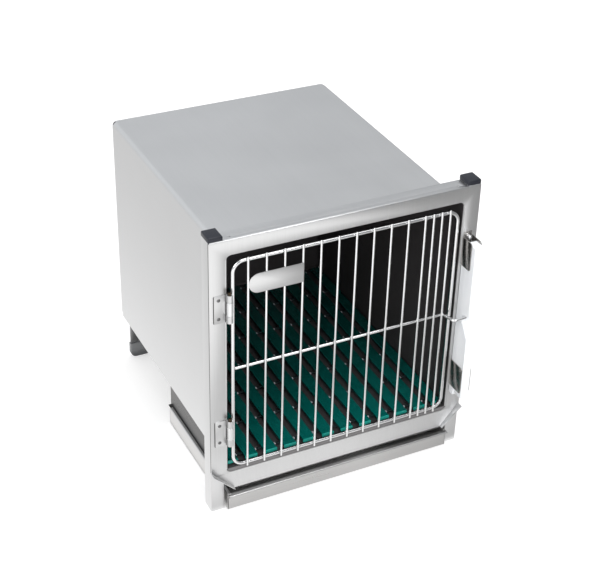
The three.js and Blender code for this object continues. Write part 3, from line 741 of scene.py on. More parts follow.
# %% [markdown]
# ## The metals
# All the steel is the same alloy, but it is finished in three ways: satin sheet, bright wire and
# mirror-polished channel. Satin sheet is a metal whose roughness changes with the grain, and the
# grain runs along each sheet as it left the brushing machine. So one function makes a satin steel
# for a direction, and the other metals are made from the same shared effects.

# %% What every material needs


def new_material(name):
    """A new material, the bench for its tree and its one Principled shader."""
    material = bpy.data.materials.new(name)
    material.use_nodes = True
    return material, Bench(material.node_tree), material.node_tree.nodes["Principled BSDF"]


def dress(bench, shader, body, polish, uneven, main, lesser, lesser_share, strength, depth, height):
    """Feeds a shader its colour, a roughness that two effects change, and a fine relief."""
    rough = bench.calculate("MULTIPLY_ADD", main, uneven, polish - uneven / 2)
    rough = bench.calculate("MULTIPLY_ADD", lesser, uneven * lesser_share, rough)
    relief = bench.put("ShaderNodeBump")
    bench.fill(relief, {"Strength": strength, "Distance": depth, "Height": height})
    bench.fill(shader, {"Base Color": body, "Roughness": rough, "Normal": relief.outputs["Normal"]})


print("material helpers are ready")

# %% A metal from its tone, its polish and its grain


def grey(tone, warmth=0.0):
    """A metal's grey, with a little more red than blue where warmth is above 0."""
    return (tone * (1 + warmth), tone, tone * (1 - warmth), 1)


def steel(name, tone, polish, stretch, size=900.0, line=0.05, cloud=0.04, uneven=0.06, bump=0.05,
          warmth=0.0, seed=0.0, shaded_hollow=None, inside_shade_depth=0.9, shaded_joint=None):
    """A steel: line and cloud say how much the grain and the clouds change its tone. It can also get
    painted shade inside the cabin or the tray, and a painted shadow line along a seam.
    """
    material, bench, shader = new_material(name)
    brushed = bench.effect(grain, Stretch=stretch, Size=size, Seed=seed)
    handled = bench.effect(clouds, Size=5.0, Sharpness=0.35, Seed=seed + 3)
    edge_wear_and_glint = bench.effect(edge_wear_and_highlight, Amount=0.6)
    change = line + cloud
    shade = bench.calculate("MULTIPLY_ADD", brushed["Line"], line / change,
                            bench.times(handled["Cloud"], cloud / change))
    body = bench.blend(shade, grey(tone * (1 - change), warmth), grey(tone * (1 + change), warmth))
    # Sharp edges turn paler: partly wear, partly a painted highlight.
    body = bench.blend(edge_wear_and_glint["Edge"], body, grey(min(tone * 1.18, 0.98), warmth))
    shader.inputs["Metallic"].default_value = 1.0
    if shaded_hollow:
        # Painted shade: inside the cabin or the tray the steel turns near black and less metallic.
        shader.inputs["Specular IOR Level"].default_value = 0.1
        painted_dark_inside = bench.effect(cabin, Depth=inside_shade_depth)[shaded_hollow]
        body = bench.blend(painted_dark_inside, body, (0.026, 0.018, 0.021, 1))
        bench.feed(bench.calculate("MULTIPLY_ADD", painted_dark_inside, -0.7, 1.0), shader.inputs["Metallic"])
    if shaded_joint:
        # Painted shadow: a dark line along the seam.
        body = bench.blend(bench.effect(seam_shadow, Depth=0.9)[shaded_joint], body, (0.02, 0.018, 0.018, 1))
    dress(bench, shader, body, polish, uneven, brushed["Line"], handled["Cloud"], 0.7, bump, 0.0002,
          brushed["Height"])
    return material


print("the steel maker is ready")

# %% The steels of the cage
SATIN = 0.70
UP, ACROSS, LENGTHWISE = (1.0, 1.0, 0.02), (0.02, 1.0, 1.0), (1.0, 0.02, 1.0)
SHORT, TALL = (1.0, 1.0, 0.3), (1.0, 1.0, 0.06)
satin_upright = steel("satin_steel_upright", SATIN, 0.33, UP, shaded_joint="Post")
satin_inner = steel("satin_steel_inner", SATIN, 0.40, UP, seed=1.0, shaded_hollow="Cabin")
satin_across = steel("satin_steel_across", SATIN, 0.30, ACROSS, seed=2.0)
satin_tray = steel("satin_steel_tray", 0.60, 0.28, ACROSS, line=0.07, warmth=0.012, seed=3.0, shaded_hollow="Tray",
                   inside_shade_depth=0.5)
satin_lengthwise = steel("satin_steel_lengthwise", SATIN, 0.40, LENGTHWISE, line=0.03, cloud=0.03, seed=4.0,
                         shaded_hollow="Cabin")
wire_steel = steel("bright_wire", 0.86, 0.13, (1.0, 1.0, 0.15), size=500.0, cloud=0.08, bump=0.03, seed=6.0)
hinge_steel = steel("hinge_steel", 0.66, 0.30, TALL, cloud=0.06, seed=8.0, shaded_joint="Leaf")
screw_steel = steel("screw_steel", 0.22, 0.30, SHORT, cloud=0.10, seed=12.0)
barrel_steel = steel("barrel_steel", 0.84, 0.36, TALL, line=0.03, cloud=0.03, seed=9.0)
polished_steel = steel("polished_steel", 0.44, 0.20, SHORT, line=0.02, cloud=0.05, uneven=0.03, bump=0.01,
                       warmth=0.03, seed=10.0)
# The runners' very dark tone is painted shade: it stands for the dark that the polished runners mirror from
# under the cage.
runner_steel_painted_dark = steel("runner_steel_painted_dark", 0.11, 0.26, (1.0, 0.3, 1.0), cloud=0.15, uneven=0.08, bump=0.02,
                     warmth=0.02, seed=13.0)
pin_steel = steel("pin_steel", 0.05, 0.34, SHORT, cloud=0.15, warmth=0.3, seed=11.0)
print("metals:", [m.name for m in bpy.data.materials if "steel" in m.name or "wire" in m.name])

# %% [markdown]
# ## The plastics
# The caps, shoes, latch plate and slats are moulded. A moulded surface has a fine pebble, a soft
# sheen that changes with wear, and corners a shade paler, partly worn and partly a painted highlight.
# On the slats it also paints light and shade by place. One function makes them all.

# %% Painted light and shade on the slatted board, by place
SLAT_PITCH = 0.0452
BOARD_FRONT, BOARD_MIDDLE = -0.28, -0.02
slat_light_zones = Effect("slat_painted_light", {"Pitch": SLAT_PITCH},
               ["Wall", "Bridge", "Glint at bridge end", "Front end highlight", "Lit near front"])
x, y, z = slat_light_zones.place()
half_pitch = slat_light_zones.times(slat_light_zones.given["Pitch"], 0.5)
from_gap = slat_light_zones.calculate("PINGPONG", x, half_pitch)
# Painted shade on each slat's side wall in the gap.
slat_light_zones.give("Wall", slat_light_zones.spread(from_gap, 0.0084, 0.0092, 1.0, 0.0))
# Painted shade on the bridges in the gaps.
on_bridge = slat_light_zones.spread(from_gap, 0.0070, 0.0076, 1.0, 0.0)
slat_light_zones.give("Bridge", on_bridge)
in_gap = slat_light_zones.calculate("WRAP", x, half_pitch, slat_light_zones.times(half_pitch, -1.0))
# A painted glint on one end of each bridge.
slat_light_zones.give("Glint at bridge end", slat_light_zones.times(slat_light_zones.spread(in_gap, -0.0050, -0.0042, 1.0, 0.0), on_bridge))
# A painted highlight on the rounded front ends, and painted light near the front that fades towards the
# middle of the board.
slat_light_zones.give("Front end highlight", slat_light_zones.spread(y, -0.2822, -0.2812, 1.0, 0.0))
slat_light_zones.give("Lit near front", slat_light_zones.spread(y, BOARD_FRONT, BOARD_MIDDLE, 1.0, 0.0))
print("slat group nodes:", len(slat_light_zones.tree.nodes))

# %% A plastic from its two colours, with painted light and shade on the slats
# Colours of the slats' painted light and shade: lit near the front, shaded walls and bridges, glints at the
# bridge ends and highlights on the front ends.
SLAT_PAINTED_LIGHT = {"Lit near front": (0.0005, 0.140, 0.120, 1), "Wall": (0.001, 0.045, 0.041, 1),
                "Bridge": (0.02, 0.03, 0.032, 1), "Glint at bridge end": (0.55, 0.56, 0.60, 1),
                "Front end highlight": (0.012, 0.40, 0.33, 1)}


def moulded(name, deep, pale, polish, pebble=0.08, edge=0.5, specular=0.5, coat=0.0, seed=0.0, slat_light_painted=False):
    """A moulded plastic that wanders between two near colours; the slats also get painted light and shade."""
    material, bench, shader = new_material(name)
    shader.inputs["Specular IOR Level"].default_value = specular
    shader.inputs["Coat Weight"].default_value = coat
    shader.inputs["Coat Roughness"].default_value = 0.12
    handled = bench.effect(clouds, Size=14.0, Sharpness=0.4, Seed=seed)
    body = bench.blend(handled["Cloud"], (*deep, 1), (*pale, 1))
    worn_and_lit = (*(min(1.0, c * 1.5 + 0.02) for c in pale), 1)
    # Corners turn paler: partly wear, partly a painted highlight.
    body = bench.blend(bench.effect(edge_wear_and_highlight, Amount=edge)["Edge"], body, worn_and_lit)
    if slat_light_painted:
        # Painted light and shade over the slats, by place.
        zone = bench.effect(slat_light_zones, Pitch=SLAT_PITCH)
        for label, colour in SLAT_PAINTED_LIGHT.items():
            body = bench.blend(zone[label], body, colour)
    dress(bench, shader, body, polish, 0.1, handled["Cloud"], handled["Speck"], 0.5, pebble, 0.0003,
          handled["Speck"])
    return material


cap_black = moulded("cap_black", (0.008, 0.010, 0.016), (0.013, 0.015, 0.024), 0.34, pebble=0.15,
                    specular=0.45, seed=1.0)
shoe_grey = moulded("shoe_grey", (0.15, 0.154, 0.158), (0.22, 0.224, 0.228), 0.5, pebble=0.25, seed=2.0)
latch_white = moulded("latch_white", (0.92, 0.94, 0.97), (0.95, 0.965, 0.98), 0.36, pebble=0.05, edge=0.1,
                      seed=3.0)
slat_green = moulded("slat_green", (0.0005, 0.069, 0.060), (0.001, 0.102, 0.088), 0.24, pebble=0.06, edge=0.4,
                     coat=0.3, seed=4.0, slat_light_painted=True)
print("plastics:", cap_black.name, shoe_grey.name, latch_white.name, slat_green.name)

# %% [markdown]
# ## The floor
# A plain white sweep. For the camera it glows a little, so that it reads as white as the room,
# and it still takes the soft shadow of the cage. What the satin front mirrors of it is a painted
# reflection: a glow that only reflections see, which falls off towards the right and has painted
# shade under and beside the cage, so the sweep shows the metal a tone of its own.

# %% The sweep and what the camera sees of it
clear()
bpy.ops.mesh.primitive_plane_add(size=14, location=(0, 0, 0))
ground = start("ground")
edit(ground)
mark()
bpy.ops.mesh.subdivide(number_cuts=3)
clear()
paper, bench, shader = new_material("white_paper")
shader.inputs["Base Color"].default_value = (0.70, 0.70, 0.70, 1)
shader.inputs["Roughness"].default_value = 0.9
shader.inputs["Specular IOR Level"].default_value = 0.0
way = bench.put("ShaderNodeLightPath").outputs
glow = bench.fill(bench.put("ShaderNodeEmission"), {"Strength": bench.times(way["Is Camera Ray"], 0.42)})
shown = bench.fill(bench.put("ShaderNodeAddShader"), {0: shader.outputs[0], 1: glow})
print("ground faces:", len(ground.data.polygons))

# %% The painted reflection that the steel sees of it
# A painted reflection: a glow that only reflections see, brighter and darker by place on the floor.
x, y, z = bench.place()
sideways = bench.calculate("MULTIPLY_ADD", x, 0.108, -0.181)
before_plate = bench.calculate("MULTIPLY_ADD", y, -1.334, sideways)
before_plate = bench.calculate("MULTIPLY_ADD", bench.times(x, y), 1.161, before_plate)
before_plate = bench.calculate("MINIMUM", bench.most(before_plate, 0.35), 1.15)
for_top_rail = bench.times(bench.spread(y, -1.08, -0.92, 1.0, 0.0), bench.spread(x, 0.34, 0.72, 1.35, 0.35))
close_by = bench.times(bench.spread(y, -0.62, -0.38, 0.43, 1.1), bench.spread(x, 0.05, 0.40, 1.0, 0.6))
before_plate = bench.most(bench.most(before_plate, for_top_rail), close_by)
before_plate = bench.times(before_plate, bench.spread(y, -0.37, -0.31, 1.0, 0.72))
beside_wall = bench.spread(x, -0.75, -0.35, 0.8, 1.05)
front_or_side = bench.put("ShaderNodeMix", data_type="FLOAT")
painted_reflection_tone = bench.fill(front_or_side, {0: bench.over(y, -0.30), 2: before_plate, 3: beside_wall})
# Painted shadow under and beside the cage, in the reflected glow only.
past_side = bench.spread(bench.size_of(x), 0.260, 0.272)
past_end = bench.spread(bench.size_of(bench.calculate("SUBTRACT", y, 0.04)), 0.31, 0.345)
outside_painted_cage_shadow = bench.calculate("MULTIPLY_ADD", bench.most(past_side, past_end), 0.95, 0.05)
painted_reflection_glow = bench.fill(bench.put("ShaderNodeEmission"),
                           {"Strength": bench.times(painted_reflection_tone, outside_painted_cage_shadow)})
bench.feed(bench.either(way["Is Glossy Ray"], shown, painted_reflection_glow),
           paper.node_tree.nodes["Material Output"].inputs["Surface"])
ground.data.materials.append(paper)
print("paper shader nodes:", len(paper.node_tree.nodes))

# %% [markdown]
# ## The front plate
# On the real cage this is one pressed sheet: a flat face with a large opening, a flange folded
# back over the top, an apron folded forward below the opening, and both lower corners cut off at
# a slant with a narrow lip standing forward along each cut. It is folded as a strip, then the
# opening is cut with a block whose four edges from front to back have been rounded.

# %% Fold the plate and cut its opening
front_plate = folded_sheet("front_plate", "x", [(32, PLATE_TOP), (-1.5, PLATE_TOP), (-1.5, 92), (-8, 56),
                           (-3, 47.5)], -PLATE_HALF, PLATE_HALF, PLATE_SHEET, bends={0: 3.0, 1: 6.0, 2: 2.5})
opening = block("opening_cutter", -266.5, 266.5, -30, 20, 95, 623)
edit(opening)
pick("EDGE", lambda x, y, z: near(y, -5, 1))
bevel(14, 9)
cut(front_plate, opening)
for side in (-1, 1):
    cut(front_plate, block("post_room", *sorted((side * 270, side * 301)), 0.05, 36, 640, 665))
    cut(front_plate, cylinder("hole_cutter", (side * 252.2, 9, PLATE_TOP), 2, 20, 24))
print("front plate faces:", len(front_plate.data.polygons))

# %% Cut the slanted corners and add their lips
for side in (-1, 1):
    slant = [(side * 252, 30), (side * 252, 56), (side * 302, 103.92), (side * 302, 30)]
    cut(front_plate, plate("corner_cutter", "y", slant, -30, 20))
    strip = [(side * 300, 102), (side * 252, 56), (side * 250.96, 57.08), (side * 298.96, 103.08)]
    lip = plate("lip", "y", strip, -16, -1)
    soften(lip, 0.4, angle=32)
    join(front_plate, lip)
soften(front_plate, 0.3)
settle(front_plate, "cage", "front_plate", satin_upright)

# %% [markdown]
# ## The two posts and their caps
# Each post is a box-section tube, open at the foot and closed at the top by a black cap that is
# pushed in. The tube is a block without its two ends, with its long edges rounded before it gets
# its wall. The cap is a block with a soft crown, and a plug grows out of its underside.

# %% Posts
post = block("post_left", -PLATE_HALF, -270, 0, 35, 0, PLATE_TOP)
edit(post)
pick("FACE", lambda x, y, z: near(z, 0, 1) or near(z, PLATE_TOP, 1))
bpy.ops.mesh.delete(type="FACE")
pick("EDGE", lambda x, y, z: near(z, PLATE_TOP / 2, 1))
bevel(2, 4)
thicken(post, 1.5)
soften(post, 0.25, segments=1, angle=60)
settle_pair(post, "post", satin_upright)

# %% Caps
cap = block("post_cap_left", -PLATE_HALF, -270, 0, 35, PLATE_TOP, 668)
edit(cap)
pick("EDGE", lambda x, y, z: z > 667.9)
bevel(3.4, 5)
pick("FACE", lambda x, y, z: near(z, PLATE_TOP, 0.1))
bpy.ops.mesh.inset(thickness=0.0018)
pull(z=-14)
soften(cap, 0.7, segments=3)
settle_pair(cap, "post_cap", cap_black)

# %% [markdown]
# ## The cabinet
# One sheet makes both sides and the top. It is a strip folded twice, and its lower edges rise
# towards the back because the floor drains to the front. A narrow flange stands out round its
# front end, behind the plate. The floor is a sheet between the sides, with its front edge turned
# down, and the back is a shallow dish with soft edges, pressed onto the wrapper's end.

# %% Wrapper
wrapper = folded_sheet("cabinet_wrapper", "y", [(CABIN_HALF, FLOOR_FRONT), (CABIN_HALF, CABIN_TOP),
                       (-CABIN_HALF, CABIN_TOP), (-CABIN_HALF, FLOOR_FRONT)], 0, CABIN_BACK, CABIN_SHEET,
                       bend=10, segments=8, flip=True)
edit(wrapper)
pick("VERT", lambda x, y, z: y > CABIN_BACK - 3 and z < FLOOR_FRONT + 1)
move(z=CABIN_BACK * FLOOR_SLOPE)
soften(wrapper, 0.25, segments=1)


def arch(half, top, radius):
    """Half of an arch's line, from its left foot to the middle of its top."""
    turns = [math.radians(a) for a in range(0, 91, 10)]
    corner = [(-half + radius - radius * math.cos(t), top - radius + radius * math.sin(t)) for t in turns]
    return [(-half, FLOOR_FRONT)] + corner + [(0, top)]


outer, inner = arch(269.5, 628.5, 15.5), arch(263.4, 622.4, 9.4)
for side in (-1, 1):
    half_arch = [(-side * x, z) for x, z in outer + inner[::-1]]
    join(wrapper, plate("wrapper_flange", "y", half_arch, 0, CABIN_SHEET))
settle(wrapper, "cage", "cabinet_wrapper", satin_lengthwise)

# %% Floor and back
cabin_floor = folded_sheet("cabinet_floor", "x", [(0, 90.8), (0, FLOOR_FRONT + CABIN_SHEET),
                           (622.9, FLOOR_FRONT + 9)], -262.7, 262.7, CABIN_SHEET, bend=2.0, segments=4,
                           flip=True)
soften(cabin_floor, 0.2, segments=1)
settle(cabin_floor, "cage", "cabinet_floor", satin_lengthwise)
back = block("cabinet_back", -CABIN_HALF, CABIN_HALF, CABIN_BACK, CABIN_BACK + 12, 110.6, CABIN_TOP)
edit(back)
pick("FACE", lambda x, y, z: near(y, CABIN_BACK, 0.1))
bpy.ops.mesh.delete(type="FACE")
pick("EDGE", lambda x, y, z: near(y, CABIN_BACK + 6, 0.5))
bevel(12, 5)
pick("EDGE", lambda x, y, z: y > CABIN_BACK + 11.9)
bevel(8.5, 6)
thicken(back, CABIN_SHEET)
settle(back, "cage", "cabinet_back", satin_inner)

# %% [markdown]
# ## Rear legs and their shoes
# Each rear leg is a strip of sheet under the cabinet with a short flange folded under the floor.
# A grey moulded shoe is pushed over its foot. The shoe has two big rounded lower corners and one
# raised line across its front.

# %% Legs
leg = folded_sheet("rear_leg_left", "x", [(622, 110.5), (606, 110.3), (606, 26)], -254, -194, 2, bend=3.5)
soften(leg, 0.3)
settle_pair(leg, "rear_leg", satin_upright)

# %% Shoes
LINE_FOOT, LINE_TOP = 16.4, 19.2
shoe = block("rear_shoe_left", -255, -193, 601, 613, 0, 38)
edit(shoe)
pick("EDGE", lambda x, y, z: near(y, 607, 0.5) and z < 1)
bevel(14, 8)
for height in (LINE_FOOT, LINE_TOP):
    mark()
    bpy.ops.mesh.bisect(plane_co=spot(0, 0, height), plane_no=(0, 0, 1))
pick("FACE", lambda x, y, z: LINE_FOOT < z < LINE_TOP and y < 601.1)
pull(y=-0.7)
cut(shoe, block("pocket", -254.1, -193.9, 605.9, 608.1, 26, 40))
soften(shoe, 0.6, segments=3)
tidy(shoe)
settle_pair(shoe, "rear_shoe", shoe_grey)

# %% [markdown]
# ## The tray and its runners
# The tray is a shallow pan. Its bottom, its two ends and the curled lip of its front are one
# folded sheet, and each side is a wall with a rim turned inwards. The rims ride on two Z-shaped
# runners that hang under the cabinet.

# %% Tray
TRAY_HALF, TRAY_FRONT, TRAY_BACK, TRAY_SHEET = 266, -10, 320, 1.2
CURL = [(-18, 44), (-20.5, 40.5)]
tray = folded_sheet("tray_pan", "x", [(-3.5, 38.5), *CURL, (TRAY_FRONT, 33), (TRAY_FRONT, 2), (TRAY_BACK, 2),
                    (TRAY_BACK, 39)], -TRAY_HALF, TRAY_HALF, TRAY_SHEET, bend=1.5, segments=4)
soften(tray, 0.2, segments=1)
for side in (-1, 1):
    wall = folded_sheet("tray_wall", "y", [(side * TRAY_HALF, 2), (side * TRAY_HALF, 43), (side * 259, 43)],
                        TRAY_FRONT, TRAY_BACK, TRAY_SHEET, bend=2.5, flip=side > 0)
    cheek = plate("tray_cheek", "x", [(TRAY_FRONT, 33), (TRAY_FRONT, 43), (-15.5, 43.2), *CURL],
                  *sorted((side * TRAY_HALF, side * (TRAY_HALF - TRAY_SHEET))))
    soften(wall, 0.2, segments=1)
    soften(cheek, 0.3)
    join(tray, wall, cheek)
settle(tray, "tray", "tray_pan", satin_tray)

# %% Runners
RUNNER_FRONT, RUNNER_BACK, RUNNER_TOP = 10, 335, FLOOR_FRONT - 1.25
runner = folded_sheet("tray_runner_left", "y", [(-263.5, 40.4), (-255.8, 40.4), (-255.8, RUNNER_TOP),
                      (-243, RUNNER_TOP)], RUNNER_FRONT, RUNNER_BACK, 1.2, bend=1.6, flip=True)
edit(runner)
pick("VERT", lambda x, y, z: y > RUNNER_BACK - 1 and z > 80)
move(z=RUNNER_BACK * FLOOR_SLOPE)
pick("VERT", lambda x, y, z: y < RUNNER_FRONT + 1 and z > 80)
move(z=RUNNER_FRONT * FLOOR_SLOPE)
cut(runner, plate("chamfer", "x", [(321.8, 110.2), (340, 110.2), (340, 92)], -270, -230))
soften(runner, 0.2, segments=1)
settle_pair(runner, "tray_runner", runner_steel_painted_dark)

# %% [markdown]
# ## The slatted floor
# Twelve moulded slats run from front to back, joined by small bridges a little below their tops,
# and stand on low feet. The outer two are narrower. A slat is a block with rounded long edges and
# fine grooves along its top, so that paws don't slip. It is made once and copied; the board is
# laid level and tilted at the end, because the cabin's floor drains to the front.

# %% One slat, then twelve
PITCH, GAP, BOARD_HALF = 45.2, 16.0, 258
SLAT_FRONT, SLAT_BACK, SLAT_FOOT, SLAT_TOP = 10, 618, 3.5, 11.0
SLATS = range(-6, 6)
slat_master = block("slat", GAP / 2, PITCH - GAP / 2, SLAT_FRONT, SLAT_BACK, SLAT_FOOT, SLAT_TOP)
edit(slat_master)
pick("EDGE", lambda x, y, z: near(y, (SLAT_FRONT + SLAT_BACK) / 2, 1))
bevel(2.5, 4)
for groove in range(5):
    at = 13.0 + groove * 4.8
    edit(slat_master)
    for edge in (at - 0.8, at + 0.8):
        pick("FACE", lambda x, y, z: near(z, SLAT_TOP))
        bpy.ops.mesh.bisect(plane_co=spot(edge, 0, 0), plane_no=(1, 0, 0))
    pick("FACE", lambda x, y, z: near(z, SLAT_TOP) and abs(x - at) < 0.8)
    bpy.ops.mesh.inset(thickness=0.0004)
    pull(z=-0.5)
edit(slat_master)
pick("EDGE", lambda x, y, z: (near(y, SLAT_FRONT, 0.1) or near(y, SLAT_BACK, 0.1)) and z > SLAT_TOP - 0.3)
bevel(1.2, 2)
slats = [copy_of(slat_master, "slat_copy", x=number * PITCH) for number in SLATS]
bpy.data.objects.remove(slat_master)
for slat in slats:
    edit(slat)
    for side in (-1, 1):
        mark()
        bpy.ops.mesh.bisect(plane_co=spot(side * BOARD_HALF, 0, 0), plane_no=(side, 0, 0), use_fill=True,
                            clear_outer=True)
print("slats:", len(slats))

# %% Bridges and feet, and the tilt
rows = [28 + 97 * row for row in range(7)]
bits = [block("bridge", gap * PITCH - 8.5, gap * PITCH + 8.5, y - 2.5, y + 2.5, 5.5, 8.5)
        for y in rows for gap in range(-5, 6)]
for y in rows[::3]:
    for number in SLATS:
        left = max(number * PITCH + GAP / 2, -BOARD_HALF)
        right = min((number + 1) * PITCH - GAP / 2, BOARD_HALF)
        middle = (left + right) / 2
        bits.append(block("slat_foot", middle - 8, middle + 8, y - 5, y + 5, 0.1, 4))
small = join(*bits)
soften(small, 0.6)
board = join(small, *slats)
board.name = board.data.name = "duckboard"
edit(board)
mark()
bpy.ops.transform.rotate(value=-math.atan(FLOOR_SLOPE), orient_axis="X", center_override=spot(0, 0, 0))
move(z=FLOOR_FRONT + CABIN_SHEET)
settle(board, "board", "duckboard", slat_green, angle=30)

# %% [markdown]
# ## The door
# The door is welded from polished wire: a thick frame bent from one length with four round
# corners, thin upright bars on its front, and one crossbar behind the bars. The crossbar's right
# end is bent forward and out, and is the finger that the latch holds. A thick wire is bent once;
# the bars are one straight wire with rounded ends, copied to each place.

# %% Frame of the door
LEFT, RIGHT, FOOT, TOP = -250.3, 251.4, 110, 604.8
MIDDLE = (LEFT + RIGHT) / 2
door_frame = bent_wire("door_frame", [(MIDDLE, 0, TOP), (LEFT, 0, TOP), (LEFT, 0, FOOT), (RIGHT, 0, FOOT),
                                      (RIGHT, 0, TOP), (MIDDLE, 0, TOP)], 4.25, 24, sides=24, steps=10,
                       closed=True)
settle(door_frame, "door", "door_frame", wire_steel)

# %% Bars
BAR_FOOT, BAR_TOP = 104.8, 614
bar_places = [-220.7 + 39.1 * number for number in range(11)] + [189.8, 209.3, 228.8]
bar = cylinder("door_bar_01", (bar_places[0], -6.85, (BAR_FOOT + BAR_TOP) / 2), 2.6, BAR_TOP - BAR_FOOT, 20)
edit(bar)
pick("EDGE", lambda x, y, z: near(z, BAR_FOOT, 0.1) or near(z, BAR_TOP, 0.1))
bevel(1.4, 3)
bars = [bar] + [copy_of(bar, f"door_bar_{number:02d}", x=place - bar_places[0])
                for number, place in enumerate(bar_places[1:], 2)]
for number, one in enumerate(bars, 1):
    settle(one, "door", f"door_bar_{number:02d}", wire_steel)

# %% Crossbar with the latch's finger
crossbar = bent_wire("door_crossbar", [(-246.05, -0.75, 357.4), (236.5, -0.75, 357.4), (245.7, -31.05, 354.8),
                                       (275, -31.05, 357.3)], 3.5, 8)
soften(crossbar, 0.8, segments=3, angle=60)
settle(crossbar, "door", "door_crossbar", wire_steel)

# %% [markdown]
# ## The bare plate
# A small plate is fixed to the upper bars. It has a round left end and a straight right end, and
# on this cage it carries nothing.

# %% Cut the plate with its round end
turns = [math.radians(a) for a in range(90, 271, 9)]
bend_points = [(-198.7 + 22 * math.cos(t), 552 + 22 * math.sin(t)) for t in turns]
card = plate("door_card", "y", bend_points + [(-103.4, 530), (-103.4, 574)], -10.65, -9.45)
soften(card, 0.35)
settle(card, "door", "door_card", satin_across)

# %% [markdown]
# ## The hinges
# A flat leaf is screwed to the front plate, and its edge is rolled into two knuckles. Between
# them sits a barrel on the door's own wire, and a pin with a small head drops through all three.

# %% The rings of a hinge
HINGES = (("upper", 506.1), ("lower", 202.5))
AXIS = (-259.5, -7.75)
LEAF_HALF, BARREL_HALF = 32, 15


def knuckle(name, foot, head):
    """A rolled ring about the hinge's axis."""
    ring = [(foot, 3.3), (foot, 5.75), (foot + 0.5, 6.25), (head - 0.5, 6.25), (head, 5.75), (head, 3.3),
            (foot, 3.3)]
    return turned(name, "z", (*AXIS, 0), ring)


print("hinges at heights", [middle for _, middle in HINGES])

# %% Leaves, barrels and pins
for place, middle in HINGES:
    foot, top = middle - LEAF_HALF, middle + LEAF_HALF
    leaf = block(f"hinge_leaf_{place}", -292, -266.5, -3, -1.5, foot, top)
    edit(leaf)
    pick("EDGE", lambda x, y, z: near(x, -292, 0.1) and near(y, -2.25, 0.3))
    bevel(3, 4)
    soften(leaf, 0.3)
    pieces = []
    for low, high in ((foot, middle - 15.3), (middle + 15.3, top)):
        pieces.append(knuckle("knuckle", low, high))
        pieces.append(block("neck", -267, AXIS[0], -3, -1.5, low, high))
        soften(pieces[-1], 0.3)
    join(leaf, *pieces)
    settle(leaf, "cage", f"hinge_leaf_{place}", hinge_steel)
    barrel = knuckle(f"hinge_barrel_{place}", middle - BARREL_HALF, middle + BARREL_HALF)
    arm = block("arm", AXIS[0], -250.6, -4.5, -1.5, middle - BARREL_HALF, middle + BARREL_HALF)
    cut(arm, cylinder("wire_room", (LEFT, 0, middle), 4.27, 40, 24))
    cut(arm, cylinder("ring_room", (*AXIS, middle), 6, 40, 32))
    soften(arm, 0.3)
    join(barrel, arm)
    settle(barrel, "door", f"hinge_barrel_{place}", barrel_steel)
    half_pin = [(foot, 0), (foot, 2.6), (foot + 0.4, 3), (top, 3), (top, 4), (top + 4.6, 4), (top + 5.7, 3.1),
                (top + 6, 1.6), (top + 6, 0)]
    pin = turned(f"hinge_pin_{place}", "z", (*AXIS, 0), half_pin, sides=28)
    settle(pin, "cage", f"hinge_pin_{place}", pin_steel)

# %% Screws
SCREW = [(-4.6, 0), (-4.55, 1.4), (-4.2, 2.7), (-3.6, 3.5), (-3.2, 3.8), (-3, 3.8), (-3, 2), (2.6, 2),
         (3, 1.6), (3, 0)]
for place, middle in HINGES:
    for end, height in (("top", middle + 21.5), ("bottom", middle - 21.5)):
        screw = turned(f"hinge_screw_{place}_{end}", "y", (-281, 0, height), SCREW, sides=24)
        cut_cross(screw, -281, height, 0.45, 2.2, -6, -3.6)
        settle(screw, "cage", f"hinge_screw_{place}_{end}", screw_steel)

# %% [markdown]
# ## The latch
# Two polished channels stand on the plate, open to the front. A white plate slides up in them and
# falls back by its own weight. Its mouth takes the door's finger, a pin through the lower channel
# carries it at rest, and a screw above it limits its travel.

# %% Channels
LATCH_MIDDLE, CHANNEL_LEFT, CHANNEL_RIGHT, CHANNEL_HEIGHT = 278.5, 266.4, 290.6, 65.5
for place, foot, front in (("upper", 476.0, -39), ("lower", 168.0, -49)):
    top = foot + CHANNEL_HEIGHT
    channel = folded_sheet(f"latch_guide_{place}", "z", [(CHANNEL_RIGHT, front), (CHANNEL_RIGHT, -1.5),
                           (CHANNEL_LEFT, -1.5), (CHANNEL_LEFT, front)], foot, top, 1.6, bend=2.4)
    edit(channel)
    pick("EDGE", lambda x, y, z: near(y, front, 0.1) and (near(z, foot, 0.1) or near(z, top, 0.1)))
    bevel(6, 6)
    soften(channel, 0.3)
    if place == "upper":
        tab = block("tab", 268.9, 288.1, -3.1, -1.5, top - 0.5, top + 10)
        soften(tab, 0.5, segments=3)
        join(channel, tab)
    settle(channel, "cage", f"latch_guide_{place}", polished_steel)

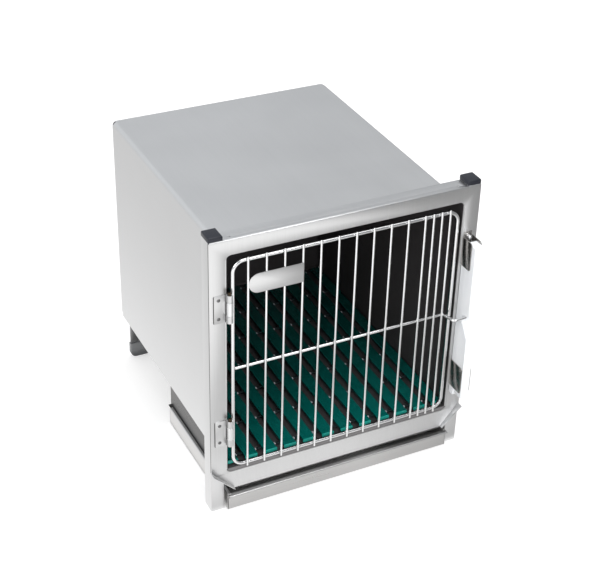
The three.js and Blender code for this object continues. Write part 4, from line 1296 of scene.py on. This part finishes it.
# %% Sliding plate
SLIDE_BACK, SLIDE_FRONT, SLIDE_TOP, HOOK_TOP = -3.6, -50, 537, 367.9
outline = [(SLIDE_BACK, 146), (SLIDE_BACK, 523), (-18.6, 523), (-18.6, SLIDE_TOP), (SLIDE_FRONT, SLIDE_TOP),
           (SLIDE_FRONT, HOOK_TOP), (-26.55, 362.4), (-26.55, 340.2), (-31.05, 339.9), (SLIDE_FRONT, 311.9),
           (SLIDE_FRONT, 156), (-25, 156), (-25, 190), (-18, 190), (-18, 146)]
slide = plate("latch_slide", "x", outline, LATCH_MIDDLE - 10, LATCH_MIDDLE + 10)
slot_cutter = block("slot", 260, 300, -44.3, -37.7, 211.5, 231.05)
edit(slot_cutter)
pick("EDGE", lambda x, y, z: near(x, 280, 1))
bevel(3.2, 6)
cut(slide, slot_cutter)
edit(slide)
pick("EDGE", lambda x, y, z: near(x, LATCH_MIDDLE, 1) and (near(z, SLIDE_TOP, 1) or near(z, HOOK_TOP, 0.5)))
bevel(5, 6)
soften(slide, 0.9, segments=3)
settle(slide, "latch", "latch_slide", latch_white)

# %% Rest pin and stop screw
STOP_HEIGHT = 541.5
rest_pin = turned("latch_rest_pin", "x", (0, -41, 228.0), [(264.9, 0), (264.9, 3.2), (265.5, 4.2),
                  (CHANNEL_LEFT, 4.2), (CHANNEL_LEFT, 3), (CHANNEL_RIGHT, 3), (CHANNEL_RIGHT, 4.2),
                  (291.5, 4.2), (292.1, 3.2), (292.1, 0)], sides=28)
settle(rest_pin, "cage", "latch_rest_pin", polished_steel)
stop_screw = turned("latch_stop_screw", "y", (LATCH_MIDDLE, 0, STOP_HEIGHT), [(-14.1, 0), (-14.1, 2.6),
                    (-13.4, 3.9), (-12.4, 4.5), (-3.1, 4.5), (-3.1, 0)], sides=28)
cut_cross(stop_screw, LATCH_MIDDLE, STOP_HEIGHT, 0.5, 2.6, -15, -12.9)
settle(stop_screw, "cage", "latch_stop_screw", wire_steel)

# %% [markdown]
# ## The last step
# At the end nothing is left selected. The dressed model must stay in the box that the imported
# model takes.

# %% Finish
clear()
